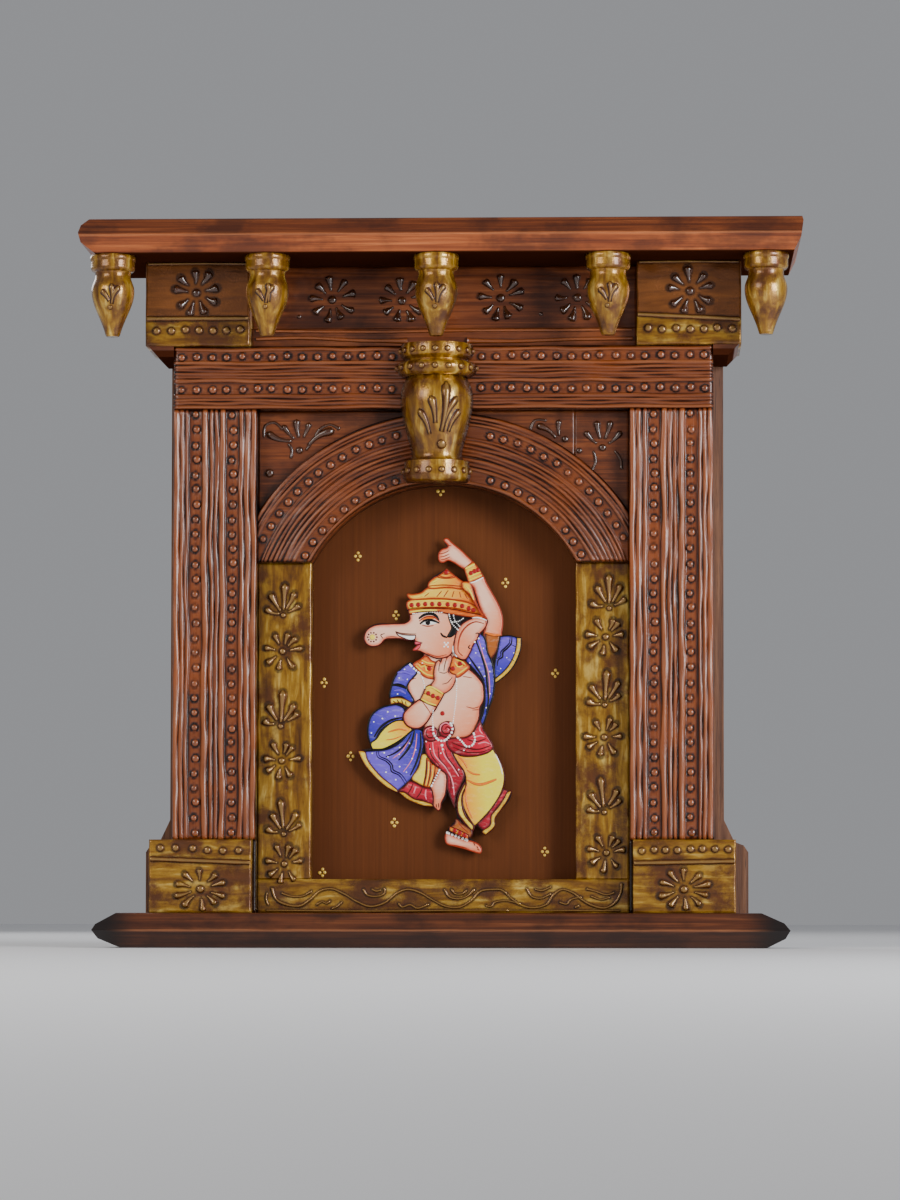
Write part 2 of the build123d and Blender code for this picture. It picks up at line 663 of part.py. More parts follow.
with BuildPart() as urn_beads:
    add(ring_of_beads(404.0, 28.5, 8, 2.6).part)
    add(ring_of_beads(491.5, 34.1, 9, 2.6).part)
    add(ring_of_beads(506.5, 31.1, 9, 2.4).part)


# ---------------------------------------------------------------- write every piece
single_pieces = {
    "top_shelf": top_shelf, "bottom_shelf": bottom_shelf, "back_board": back_board,
    "carcass_top": carcass_top, "hanger_screws": hanger_screws, "back_screws": back_screws,
    "niche_panel": niche_panel, "entablature": entablature,
    "entablature_beads": entablature_beads, "frieze_board": frieze_board,
    "frieze_fillet": frieze_fillet, "frieze_flowers": frieze_flowers,
    "block_flowers": block_flowers, "plinth_flowers": plinth_flowers,
    "frame_rail": frame_rail, "rail_vine": rail_vine, "spandrel_left": spandrel_left,
    "spandrel_right": spandrel_right, "spandrel_right_outer": spandrel_right_outer,
    "spandrel_relief": spandrel_relief, "ganesha_figure": ganesha_figure,
    "figure_spacers": figure_spacers, "panel_dots": panel_dots,
    "pendant_dowels": pendant_dowels, "urn_keystone": urn_keystone,
    "urn_packing": urn_packing, "urn_beads": urn_beads,
}
paired_pieces = {
    "hanger_plate": hanger_plates, "side_wall": side_walls, "panel_batten": battens,
    "pillar": pillars, "pillar_beads": pillar_beads, "plinth": plinths,
    "plinth_beads": plinth_beads, "frieze_block": frieze_blocks,
    "block_moulding": block_mouldings, "block_beads": block_beads,
    "frame_upright": frame_uprights, "upright_relief": upright_relief,
    "arch": arches, "arch_beads": arch_beads,
}
for label, piece in single_pieces.items():
    save(piece, label)
for label, pair in paired_pieces.items():
    for name, side in SIDES:
        save(pair[name], f"{label}_{name}")
for number, piece in enumerate(pendants, start=1):
    save(piece, f"pendant_{number}")
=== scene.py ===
import math
import random

import bpy
import numpy as np
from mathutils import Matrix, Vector, geometry


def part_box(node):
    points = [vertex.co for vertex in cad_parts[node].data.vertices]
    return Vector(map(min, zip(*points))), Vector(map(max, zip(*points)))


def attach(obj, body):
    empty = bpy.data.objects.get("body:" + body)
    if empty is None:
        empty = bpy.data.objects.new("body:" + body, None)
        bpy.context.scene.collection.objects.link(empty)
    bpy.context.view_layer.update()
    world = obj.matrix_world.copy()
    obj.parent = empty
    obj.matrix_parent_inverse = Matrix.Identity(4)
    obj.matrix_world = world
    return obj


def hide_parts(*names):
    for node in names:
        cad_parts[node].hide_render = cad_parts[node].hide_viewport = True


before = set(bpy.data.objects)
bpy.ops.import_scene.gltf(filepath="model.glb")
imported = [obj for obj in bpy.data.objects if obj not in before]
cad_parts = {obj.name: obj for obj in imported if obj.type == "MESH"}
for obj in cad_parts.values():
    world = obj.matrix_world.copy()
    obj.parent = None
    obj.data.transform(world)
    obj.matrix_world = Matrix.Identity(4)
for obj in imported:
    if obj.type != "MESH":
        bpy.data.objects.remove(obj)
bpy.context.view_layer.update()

# Lengths here are in millimetres until they reach a mesh. "out" is the distance from the wall,
# "level" the height above the underside of the bottom shelf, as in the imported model.
MM = 0.001
BASE_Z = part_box("bottom_shelf")[0].z
BODY = "root"


def measure(node):
    """A node's extent in millimetres: (x_low, x_high), (level_low, level_high), (back, face)."""
    low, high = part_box(node)
    return ((low.x / MM, high.x / MM), ((low.z - BASE_Z) / MM, (high.z - BASE_Z) / MM),
            (-high.y / MM, -low.y / MM))


# ------------------------------------------------------------------ materials
def tint(red, green, blue, light=1.0):
    """A display colour, 0 to 255 a channel, made lighter or darker, as linear values."""
    linear = []
    for channel in (red, green, blue):
        value = channel * light / 255
        linear.append(value / 12.92 if value <= 0.04045 else ((value + 0.055) / 1.055) ** 2.4)
    return (*linear, 1.0)


class Finish:
    """A node material, built from a few short calls."""

    def __init__(self, name, roughness=0.4, coat=0.0, metallic=0.0, specular=0.5):
        self.material = bpy.data.materials.new(name)
        self.material.use_nodes = True
        self.tree = self.material.node_tree
        self.shader = self.tree.nodes["Principled BSDF"]
        self.shader.inputs["Roughness"].default_value = roughness
        self.shader.inputs["Coat Weight"].default_value = coat
        self.shader.inputs["Coat Roughness"].default_value = 0.18
        self.shader.inputs["Metallic"].default_value = metallic
        self.shader.inputs["Specular IOR Level"].default_value = specular

    def node(self, kind, **inputs):
        made = self.tree.nodes.new(kind)
        for key, value in inputs.items():
            self.feed(made.inputs[key.replace("_", " ")], value)
        return made

    def feed(self, socket, value):
        if isinstance(value, bpy.types.NodeSocket):
            self.tree.links.new(value, socket)
        else:
            socket.default_value = value

    def place(self, stretch=(1.0, 1.0, 1.0)):
        """Object coordinates, one unit to a millimetre, divided by a stretch along each axis."""
        coordinates = self.tree.nodes.new("ShaderNodeTexCoord").outputs["Object"]
        mapping = self.node("ShaderNodeMapping", Vector=coordinates)
        mapping.inputs["Scale"].default_value = [1 / (MM * part) for part in stretch]
        return mapping.outputs["Vector"]

    def noise(self, stretch, detail=3.0, roughness=0.55, distortion=0.0):
        made = self.node("ShaderNodeTexNoise", Vector=self.place(stretch), Scale=1.0, Detail=detail,
                         Roughness=roughness, Distortion=distortion)
        return made.outputs["Fac"]

    def attribute(self, name):
        made = self.tree.nodes.new("ShaderNodeAttribute")
        made.attribute_name = name
        return made.outputs["Fac"]

    def ramp(self, factor, stops):
        """A colour ramp. Each stop is (position, colour)."""
        made = self.node("ShaderNodeValToRGB", Fac=factor)
        band = made.color_ramp
        while len(band.elements) < len(stops):
            band.elements.new(0.5)
        for element, (position, colour) in zip(band.elements, stops):
            element.position = position
            element.color = colour
        return made.outputs["Color"]

    def fade(self, value, low, high):
        """0 below low, 1 above high, smooth between."""
        made = self.node("ShaderNodeMapRange", Value=value)
        made.interpolation_type = "SMOOTHSTEP"
        made.inputs["From Min"].default_value = low
        made.inputs["From Max"].default_value = high
        return made.outputs["Result"]

    def mix(self, factor, first, second):
        made = self.tree.nodes.new("ShaderNodeMix")
        made.data_type = "RGBA"
        self.feed(made.inputs[0], factor)
        self.feed(made.inputs[6], first)
        self.feed(made.inputs[7], second)
        return made.outputs[2]

    def work_out(self, operation, first, second):
        """One step of arithmetic on values or sockets."""
        made = self.tree.nodes.new("ShaderNodeMath")
        made.operation = operation
        self.feed(made.inputs[0], first)
        self.feed(made.inputs[1], second)
        return made.outputs[0]

    def plus(self, first, second):
        return self.work_out("ADD", first, second)

    def minus(self, first, second):
        return self.work_out("SUBTRACT", first, second)

    def times(self, first, second):
        return self.work_out("MULTIPLY", first, second)

    def unsigned(self, value):
        return self.work_out("ABSOLUTE", value, 0.0)

    def axis(self, name):
        """One object coordinate, in millimetres."""
        split = self.node("ShaderNodeSeparateXYZ", Vector=self.place())
        return split.outputs[name]

    def finish(self, colour, rough=None, bumps=()):
        """Connects the shader. Each bump is (height, depth in millimetres)."""
        self.feed(self.shader.inputs["Base Color"], colour)
        if rough is not None:
            self.feed(self.shader.inputs["Roughness"], rough)
        normal = None
        for height, depth in bumps:
            bump = self.node("ShaderNodeBump", Height=height, Distance=depth * MM, Strength=1.0)
            if normal is not None:
                self.feed(bump.inputs["Normal"], normal)
            normal = bump.outputs["Normal"]
        if normal is not None:
            self.feed(self.shader.inputs["Normal"], normal)
        return self.material


GRAINS = {"X": (90.0, 2.2, 2.2), "Z": (2.2, 2.2, 90.0), "Y": (2.2, 90.0, 2.2)}


def stained_wood(name, grain="X", light=1.0, coat=0.25, dark_beyond=None, crease=None, shaded_side=-1,
                 shade_below=None):
    """Red-brown stained timber under varnish, with dark grain and coppery worn streaks.

    dark_beyond gives the distance from the middle at which its ends turn black. crease gives the level
    of the edge along which a thin copper line is painted as a highlight; the wood is painted darker above
    it (shaded_side 1) or below it (-1), as painted shade on the bevel turned from the light.
    shade_below gives the level under which the wood is left almost black, without varnish or sheen: painted
    shade under it."""
    finish = Finish(name, roughness=0.34, coat=coat, specular=0.35)
    streak = finish.noise([part * 1.6 for part in GRAINS[grain]], detail=4.0, roughness=0.55, distortion=0.6)
    fine = finish.noise([part * 0.28 for part in GRAINS[grain]], detail=3.0)
    cloud = finish.noise((52.0, 40.0, 34.0), detail=4.0, roughness=0.6)
    wood = finish.ramp(streak, [
        (0.25, tint(70, 30, 12, light)), (0.45, tint(104, 49, 20, light)),
        (0.6, tint(132, 68, 31, light)), (0.8, tint(166, 96, 53, light))])
    dirt_and_shade = finish.fade(cloud, 0.38, 0.58)
    wood = finish.mix(dirt_and_shade, finish.mix(0.6, wood, tint(46, 18, 7, light)), wood)
    wood = finish.mix(finish.times(finish.fade(fine, 0.56, 0.74), 0.35), wood, tint(46, 19, 8))
    if crease:
        # painted shade: the bevel on the shaded side of the crease is darker
        over = finish.minus(finish.axis("Z"), crease + BASE_Z / MM)
        beyond = finish.plus(finish.times(over, shaded_side), finish.times(fine, 2.0))
        wood = finish.mix(finish.fade(beyond, 0.5, 3.0), wood, finish.mix(0.55, wood, tint(30, 12, 6)))
        # painted highlight: a thin copper glint along the crease
        crease_glint = finish.plus(finish.unsigned(over), finish.times(fine, 2.5))
        wood = finish.mix(finish.fade(crease_glint, 1.3, 2.8), finish.mix(0.28, wood, tint(210, 136, 88)), wood)
    rough = finish.plus(finish.times(fine, 0.28), 0.2)
    if shade_below:
        # painted shade under the shelf: almost black below this level, its varnish and sheen taken away
        above = finish.fade(finish.axis("Z"), shade_below + BASE_Z / MM + 0.3, shade_below + BASE_Z / MM + 1.6)
        wood = finish.mix(above, tint(60, 28, 15), wood)
        rough = finish.plus(rough, finish.times(finish.minus(1.0, above), 0.5))
        finish.feed(finish.shader.inputs["Coat Weight"], finish.times(above, coat))
        finish.feed(finish.shader.inputs["Specular IOR Level"], finish.times(above, 0.35))
    if dark_beyond:
        away = finish.unsigned(finish.axis("X"))
        uneven = finish.plus(away, finish.times(cloud, 20.0))
        wood = finish.mix(finish.fade(uneven, dark_beyond, dark_beyond + 30), wood, tint(20, 9, 6))
    return finish.finish(wood, rough, [(streak, 0.25), (fine, 0.1)])


def relief_clay(name, grain="Z", light=1.0):
    """Stained clay laid in lines: near black in the grooves as painted shade, light copper on the crests as
    painted highlight.
    """
    finish = Finish(name, roughness=0.3, coat=0.42, specular=0.35)
    relief = finish.attribute("relief")
    streak = finish.noise([part * 1.7 for part in GRAINS[grain]], detail=4.0, roughness=0.5, distortion=0.3)
    fine = finish.noise([max(0.5, part * 0.2) for part in GRAINS[grain]], detail=3.0)
    # coloured by height: painted shade low in the grooves, painted highlight on the crests
    lifted = finish.plus(relief, finish.times(finish.minus(streak, 0.5), 1.7))
    shade = finish.fade(lifted, -0.7, 3.2)
    colour = finish.ramp(shade, [
        (0.0, tint(14, 5, 2)), (0.22, tint(58, 22, 8, light)),
        (0.5, tint(116, 55, 23, light)), (0.78, tint(146, 78, 39, light)),
        (1.0, tint(168, 98, 58, light))])
    cloud = finish.noise((60.0, 60.0, 60.0), detail=2.0)
    orange = finish.mix(0.4, colour, tint(160, 78, 26, light))
    colour = finish.mix(finish.fade(cloud, 0.5, 0.66), colour, orange)
    rough = finish.plus(finish.times(fine, 0.25), 0.12)
    return finish.finish(colour, rough, [(streak, 0.35), (fine, 0.15)])


def bead_clay(name, light=1.0):
    """Small clay beads and petals, stained and varnished until they shine; near black at the foot as painted
    shade and lighter on top as painted highlight.
    """
    finish = Finish(name, roughness=0.17, coat=0.8)
    relief = finish.attribute("relief")
    speck = finish.noise((1.4, 1.4, 1.4), detail=2.0)
    patch = finish.noise((14.0, 14.0, 14.0), detail=2.0)
    # painted shade at the foot of each bead and painted highlight on its top
    shade = finish.fade(finish.plus(relief, finish.times(speck, 0.8)), 0.4, 2.6)
    colour = finish.ramp(shade, [
        (0.0, tint(22, 8, 4, light)), (0.35, tint(70, 28, 10, light)),
        (0.7, tint(106, 48, 18, light)), (1.0, tint(138, 72, 33, light))])
    colour = finish.mix(finish.fade(patch, 0.45, 0.7), colour, finish.mix(0.5, colour, tint(40, 16, 10)))
    return finish.finish(colour, None, [(speck, 0.12)])


def antique_gold(name, grain="Z", front_gold_side_shade=None, relief_name=None, wear=0.5, gold_below=None):
    """Olive gold paint worn over brown and streaked by the brush. relief_name names the height that gives
    painted shade at the foot of the clay laid on it and a painted highlight on its crests.

    front_gold_side_shade gives the two depths, out from the wall, between which the paint fades to stain:
    the back left unpainted, and painted shade on the sides. wear is the share left brown. gold_below gives
    the level above which the paint is worn back to brown."""
    finish = Finish(name, roughness=0.3, coat=0.45, metallic=0.45)
    brush = finish.noise([max(7.0, part * 0.45) for part in GRAINS[grain]], detail=4.0, distortion=0.5)
    cloud = finish.noise((26.0, 26.0, 26.0), detail=5.0, roughness=0.6)
    speck = finish.noise((1.8, 1.8, 1.8), detail=2.0)
    gold = finish.ramp(brush, [(0.25, tint(82, 46, 8)), (0.42, tint(132, 86, 15)),
                               (0.56, tint(172, 126, 30)), (0.72, tint(230, 194, 98))])
    brown = finish.mix(brush, tint(54, 26, 8), tint(120, 66, 17))
    colour = finish.mix(finish.fade(cloud, 0.93 - wear, 1.15 - wear), gold, brown)
    if gold_below:
        height = finish.plus(finish.axis("Z"), finish.times(speck, 1.5))
        level = gold_below + BASE_Z / MM
        field = finish.mix(brush, tint(62, 28, 10), tint(166, 98, 40))
        colour = finish.mix(finish.fade(height, level, level + 3.0), colour, field)
    if relief_name:
        # painted shade at the foot of the clay and round it, and a painted highlight on its crests
        relief = finish.attribute(relief_name)
        hollow_shade = finish.plus(relief, finish.times(speck, 0.7))
        colour = finish.mix(finish.fade(hollow_shade, -0.5, 0.9), tint(34, 16, 6), colour)
        colour = finish.mix(finish.fade(relief, 1.9, 2.8), colour,
                            finish.mix(0.4, colour, tint(210, 170, 90)))
    if front_gold_side_shade:
        # gold on the front only: the back left unpainted, and the fade painted shade on the sides
        away = finish.times(finish.axis("Y"), -1.0)
        shown = finish.fade(finish.plus(away, finish.times(cloud, 9.0)), *front_gold_side_shade)
        colour = finish.mix(shown, tint(52, 23, 11), colour)
    rough = finish.plus(finish.times(cloud, 0.3), 0.1)
    return finish.finish(colour, rough, [(brush, 0.35), (speck, 0.2)])


def panel_paint(name):
    """Dark brown paint brushed downwards over the niche panel."""
    finish = Finish(name, roughness=0.5, specular=0.15)
    brush = finish.noise((3.0, 3.0, 160.0), detail=4.0, roughness=0.6)
    cloud = finish.noise((80.0, 80.0, 120.0), detail=2.0)
    mottled = finish.plus(finish.times(brush, 0.6), finish.times(cloud, 0.4))
    colour = finish.ramp(mottled, [(0.2, tint(78, 40, 16)), (0.5, tint(92, 48, 19)),
                                   (0.8, tint(107, 58, 25))])
    return finish.finish(colour, None, [(brush, 0.12)])


def carcass_wood(name, grain="Z"):
    """Unvarnished timber washed with thin brown stain."""
    finish = Finish(name, roughness=0.6)
    streak = finish.noise([part * 1.4 for part in GRAINS[grain]], detail=5.0, roughness=0.6, distortion=0.8)
    pore = finish.noise([part * 0.22 for part in GRAINS[grain]], detail=2.0)
    colour = finish.ramp(streak, [(0.3, tint(74, 42, 26)), (0.5, tint(106, 66, 42)),
                                  (0.7, tint(134, 90, 60))])
    colour = finish.mix(finish.fade(pore, 0.6, 0.72), colour, tint(54, 30, 19))
    rough = finish.plus(finish.times(pore, 0.3), 0.42)
    return finish.finish(colour, rough, [(streak, 0.3), (pore, 0.15)])


def plated_steel(name):
    """Zinc-plated sheet and screws, faintly scratched."""
    finish = Finish(name, roughness=0.32, metallic=1.0)
    scratch = finish.noise((0.6, 0.6, 9.0), detail=3.0)
    colour = finish.ramp(scratch, [(0.3, tint(140, 142, 146)), (0.7, tint(196, 197, 200))])
    rough = finish.plus(finish.times(scratch, 0.3), 0.2)
    return finish.finish(colour, rough, [(scratch, 0.03)])


# ------------------------------------------------------------------ meshes
def wander(seed, wavelength, size):
    """A smooth random function of a distance, made of a few sine waves."""
    source = random.Random(seed)
    waves = [(wavelength * source.uniform(0.5, 1.6), source.uniform(0, 2 * math.pi),
              source.uniform(0.4, 1.0)) for _ in range(5)]
    total = sum(weight for _, _, weight in waves)

    def value(distance):
        return size * sum(weight * np.sin(2 * math.pi * distance / length + phase)
                          for length, phase, weight in waves) / total * 1.6
    return value


def make_piece(name, points, faces, material, relief=None):
    """A mesh object from points given as rows of (x, level, out), riding on the body."""
    points = np.asarray(points, float)
    world = np.column_stack((points[:, 0] * MM, -points[:, 2] * MM, BASE_Z + points[:, 1] * MM))
    mesh = bpy.data.meshes.new(name)
    mesh.from_pydata(world.tolist(), [], faces)
    mesh.materials.append(material)
    if relief is not None:
        attribute = mesh.attributes.new("relief", "FLOAT", "POINT")
        attribute.data.foreach_set("value", np.asarray(relief, np.float32))
    mesh.polygons.foreach_set("use_smooth", [True] * len(mesh.polygons))
    mesh.validate()
    mesh.update()
    piece = bpy.data.objects.new(name, mesh)
    bpy.context.scene.collection.objects.link(piece)
    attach(piece, BODY)
    return piece


def relief_board(name, x, level, height, back, face, material, dirt_and_shade=None):
    """A closed board whose front is a grid of heights above its face.

    x, level and height are arrays of the same shape; dirt_and_shade, which carries painted shade and light,
    is added to the height that colours it."""
    rows, columns = x.shape
    front = np.stack((x, level, face + height), axis=-1).reshape(-1, 3)
    index = np.arange(rows * columns).reshape(rows, columns)
    rim = np.concatenate((index[0, :], index[1:, -1], index[-1, -2::-1], index[-2:0:-1, 0]))
    behind = front[rim].copy()
    behind[:, 2] = back
    points = np.vstack((front, behind))
    quads = np.stack((index[:-1, :-1], index[:-1, 1:], index[1:, 1:], index[1:, :-1]), axis=-1)
    quads = quads.reshape(-1, 4)
    flip = faces_wall(front, quads[len(quads) // 2])
    if flip:
        quads = quads[:, ::-1]
    faces = quads.tolist()
    offset = rows * columns
    count = len(rim)
    for i in range(count):
        following = (i + 1) % count
        side = [int(rim[following]), int(rim[i]), offset + i, offset + following]
        faces.append(side[::-1] if flip else side)
    backing = [offset + i for i in range(count)]
    faces.append(backing if flip else backing[::-1])
    colouring = height.reshape(-1) + (0 if dirt_and_shade is None else dirt_and_shade.reshape(-1))
    colouring = np.concatenate((colouring, np.full(count, 1.0)))
    return make_piece(name, points, faces, material, colouring)


def faces_wall(points, face):
    """Whether a face, read in this order, faces the wall instead of the viewer."""
    corner = [points[i] for i in face]
    across = corner[1] - corner[0]
    up = corner[-1] - corner[0]
    return across[0] * up[1] - across[1] * up[0] < 0


def grid(x_range, level_range, step_x, step_level):
    """Points spread evenly over a rectangle, as arrays of x and level."""
    columns = max(2, round(abs(x_range[1] - x_range[0]) / step_x) + 1)
    rows = max(2, round(abs(level_range[1] - level_range[0]) / step_level) + 1)
    return np.meshgrid(np.linspace(*x_range, columns), np.linspace(*level_range, rows))


def rounded_edge(distance, radius):
    """How far a surface drops near an edge that is rounded to a radius."""
    near = np.clip(1 - distance / radius, 0, 1)
    return -radius * (1 - np.sqrt(1 - near ** 2 * 0.98))


def edge_distance(x, level, x_range, level_range):
    """How far each point lies inside the nearest edge of a rectangle."""
    sides = (x - min(x_range), max(x_range) - x, level - level_range[0], level_range[1] - level)
    return np.minimum.reduce(sides)


def clay_lines(across, along, lines, seed):
    """Hand-laid clay lines. Each line is (centre, half width, height) across; they waver along."""
    height = np.zeros_like(across)
    sway = wander(seed, 150.0, 0.55)
    for number, (centre, half_width, rise) in enumerate(lines):
        own = wander(seed * 31 + number, 85.0, 0.42)
        swell = wander(seed * 57 + number, 60.0, 0.16)
        middle = centre + sway(along + centre * 1.5) + own(along)
        reach = half_width * (1 + swell(along))
        profile = np.clip(1 - ((across - middle) / reach) ** 2, 0, 1)
        height = np.maximum(height, rise * (1 + swell(along + 40)) * np.sqrt(profile))
    combing = wander(seed + 900, 1.5, 0.13)
    return height + combing(across + 0.35 * own(along)) * (0.4 + 0.3 * height)


def press_marks(x, level, beads, radius):
    """The ring pressed into the clay round each bead: (height change, painted shadow in the ring)."""
    nearest = np.full(x.shape, 1e9)
    for bead_x, bead_level in beads:
        nearest = np.minimum(nearest, (x - bead_x) ** 2 + (level - bead_level) ** 2)
    ring = np.exp(-((np.sqrt(nearest) - radius) / 1.0) ** 2)
    # the second value darkens the ring as painted shadow
    return -0.4 * ring, -1.6 * ring


def channel_tone(across, channels):
    """The flats the beads sit on are kept nearly as bright as the lines, out of the painted shade of the
    grooves.
    """
    return sum(1.5 * np.exp(-((across - channel) / 5.0) ** 6) for channel in channels)


DOME_PROFILE = ((1.0, 0.0), (0.97, 0.35), (0.84, 0.68), (0.58, 0.9), (0.28, 0.985), (0.04, 1.0))


class Clay:
    """Collects pads and strings of clay laid on a surface, to make one mesh of closed shells."""

    def __init__(self, place):
        self.place = place
        self.points = []
        self.faces = []
        self.relief = []
        self.marks = []
        self.laid = []

    def loft(self, sections, tops):
        """Joins rings of points, each with the same count, and closes both ends."""
        start = len(self.points)
        size = len(sections[0])
        for ring, tones in zip(sections, tops):
            self.points.extend(self.place(*point) for point in ring)
            self.relief.extend(tones)
        for i in range(len(sections) - 1):
            for j in range(size):
                a = start + i * size + j
                b = start + i * size + (j + 1) % size
                self.faces.append((a, b, b + size, a + size))
        self.faces.append(tuple(start + j for j in range(size))[::-1])
        self.faces.append(tuple(start + (len(sections) - 1) * size + j for j in range(size)))

    def string(self, path, widths, rise=0.85, sunk=0.6, sides=9):
        """A string of clay along a path of (x, level), with a half width at each point."""
        sections = []
        tones = []
        self.marks.extend((x, level, width) for (x, level), width in zip(path, widths))
        self.laid.append((path, widths))
        for i, (x, level) in enumerate(path):
            before = path[max(i - 1, 0)]
            after = path[min(i + 1, len(path) - 1)]
            run = Vector((after[0] - before[0], after[1] - before[1])).normalized()
            ring = []
            tone = []
            for j in range(sides):
                turn = math.pi * j / (sides - 1)
                reach = widths[i] * math.cos(turn)
                up = widths[i] * rise * math.sin(turn)
                ring.append((x - run.y * reach, level + run.x * reach, up))
                tone.append(up / max(widths[i] * rise, 0.01) * 2.6)
            ring.append((x - run.y * -widths[i], level + run.x * -widths[i], -sunk))
            ring.append((x - run.y * widths[i], level + run.x * widths[i], -sunk))
            tone.extend((-0.5, -0.5))
            sections.append(ring)
            tones.append(tone)
        self.loft(sections, tones)

    def drop(self, start, end, width, bend=0.0, tail=0.35, shape=1.5):
        """A teardrop pad from a thin tail to a round head, bowed sideways by bend."""
        steps = 11
        path = []
        widths = []
        run = Vector((end[0] - start[0], end[1] - start[1]))
        side = Vector((-run.y, run.x)).normalized()
        for i in range(steps):
            t = i / (steps - 1)
            bow = bend * math.sin(math.pi * t)
            path.append((start[0] + run.x * t + side.x * bow, start[1] + run.y * t + side.y * bow))
            swell = t ** shape
            cap = math.sqrt(max(0.0, 1 - max(0.0, (t - 0.72) / 0.28) ** 2))
            widths.append(width * max(0.06, 1.3 * (tail * (1 - t) + swell) * cap if t < 1 else 0.06))
        self.string(path, widths)

    def dome(self, x, level, radius, rise=0.62, sunk=0.5):
        """A round bead, flattened a little."""
        sides = 14
        sections = []
        tones = []
        self.marks.append((x, level, radius))
        for t, up in ((1.0, -sunk), *DOME_PROFILE):
            lift = up if up < 0 else radius * rise * up
            sections.append([(x + radius * t * math.cos(2 * math.pi * j / sides),
                              level + radius * t * math.sin(2 * math.pi * j / sides), lift)
                             for j in range(sides)])
            tones.append([2.6 * max(up, 0) ** 0.7] * sides)
        self.loft(sections, tones)

    def shade_round_pads(self, x, level):
        """Painted shade at the foot of the pads: negative near them, 0 away from them."""
        reach = 1.6
        depth = 1.4
        nearest = np.full(x.shape, 1e9)
        for mark_x, mark_level, width in self.marks:
            nearest = np.minimum(nearest, np.hypot(x - mark_x, level - mark_level) - width)
        return -depth * np.exp(-(np.clip(nearest, 0, None) / reach) ** 2)

    def halo(self):
        """Low pads under the strings laid so far, a little wider: painted shade round them."""
        spread = 0.8
        rise = 0.16
        pads = Clay(self.place)
        for path, widths in self.laid:
            pads.string(path, [width + spread for width in widths], rise=rise / max(widths))
        return pads

    def piece(self, name, material, slot):
        return make_piece(name, self.points, self.faces, material, self.relief)


def flat(face):
    """Clay laid on a flat face."""
    def place(x, level, up):
        return (x, level, face + up)
    return place


def around(middle_x, middle_out, radius_at):
    """Clay laid round a turned surface; x runs round it from the front."""
    def place(x, level, up):
        radius = radius_at(level)
        angle = (x - middle_x) / max(radius, 1.0)
        return (middle_x + (radius + up) * math.sin(angle), level,
                middle_out + (radius + up) * math.cos(angle))
    return place


def stand_for(piece, *nodes):
    """Hides the CAD nodes that a piece models in full, so the piece stands in their place."""
    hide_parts(*nodes)


def dress(node, material):
    """Gives a carried-over node its finish."""
    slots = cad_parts[node].data.materials
    slots.clear()
    slots.append(material)


# ------------------------------------------------------------------ finishes in use
# The light factors below make lighter and darker copies of one stain and one clay, set to how brightly each
# part is lit: painted light and shade. The top shelf gets the lightest copy, the bottom shelf the darkest.
WOOD_ACROSS = stained_wood("stained_wood_across", "X", light=0.94)
WOOD_LIT = stained_wood("stained_wood_lit", "X", light=1.25, crease=sum(measure("top_shelf")[1]) / 2,
                         shaded_side=1, shade_below=measure("top_shelf")[1][0])
WOOD_SHADED = stained_wood("stained_wood_shaded", "X", light=0.74, coat=0.5, dark_beyond=262,
                         crease=sum(measure("bottom_shelf")[1]) / 2)
WOOD_MOULDING = stained_wood("stained_wood_moulding", "X", light=0.85,
                             shade_below=sum(measure("block_moulding_left")[1]) / 2)
CLAY_UP = relief_clay("relief_clay_up", "Z", light=0.93)
CLAY_ACROSS = relief_clay("relief_clay_across", "X", light=0.84)
BEAD = bead_clay("clay_bead")
PETAL = bead_clay("clay_petal", light=0.5)
GOLD_UP = antique_gold("antique_gold_up", "Z", relief_name="relief")
GOLD_ACROSS = antique_gold("antique_gold_across", "X", relief_name="relief")
GOLD_CLAY = antique_gold("antique_gold_clay", "Z", relief_name="relief", wear=0.72)
HALO_SHADE = stained_wood("halo_shade_stain", "Z", light=0.5)
PANEL = panel_paint("panel_paint")
CARCASS = carcass_wood("carcass_wood_up", "Z")
CARCASS_ACROSS = carcass_wood("carcass_wood_across", "X")
STEEL = plated_steel("plated_steel")

CARRIED_OVER = {
    "back_board": CARCASS, "carcass_top": CARCASS_ACROSS, "side_wall_left": CARCASS,
    "side_wall_right": CARCASS, "panel_batten_left": CARCASS, "panel_batten_right": CARCASS,
    "figure_spacers": CARCASS, "urn_packing": CARCASS, "pendant_dowels": CARCASS,
    "block_moulding_left": WOOD_MOULDING, "block_moulding_right": WOOD_MOULDING,
    "top_shelf": WOOD_LIT, "bottom_shelf": WOOD_SHADED,
    "hanger_plate_left": STEEL, "hanger_plate_right": STEEL, "hanger_screws": STEEL,
    "back_screws": STEEL}
for node, material in CARRIED_OVER.items():
    dress(node, material)

SIDES = (("left", -1), ("right", 1))
BEAD_RADIUS = 3.0
BEAD_PITCH = 12.9


def along(start, end, pitch):
    """Evenly spaced places from start to end, about a pitch apart."""
    steps = max(1, round(abs(end - start) / pitch))
    return [start + (end - start) * i / steps for i in range(steps + 1)]


def jitter(places, seed, size=0.7):
    """Places as a hand would set them, a little off the line."""
    source = random.Random(seed)
    return [(x + source.uniform(-size, size), level + source.uniform(-size, size)) for x, level in places]


def set_beads(clay, places, radius, seed):
    """A clay bead at each place, no two quite alike."""
    source = random.Random(seed)
    for x, level in places:
        clay.dome(x, level, radius * source.uniform(0.86, 1.1), rise=source.uniform(0.55, 0.72))


# ------------------------------------------------------------------ pillars
PILLAR_LINES = (        # (distance from the niche side, half width, height)
    (2.9, 2.9, 2.2), (8.4, 2.6, 2.0), (13.4, 2.2, 1.8),
    (29.6, 2.8, 2.3), (34.8, 2.0, 1.6), (38.9, 1.8, 1.9), (44.6, 2.9, 2.3),
    (60.2, 1.7, 1.6), (64.2, 2.1, 2.0), (69.0, 2.8, 2.3))
PILLAR_BEAD_COLUMNS = (21.0, 52.2)


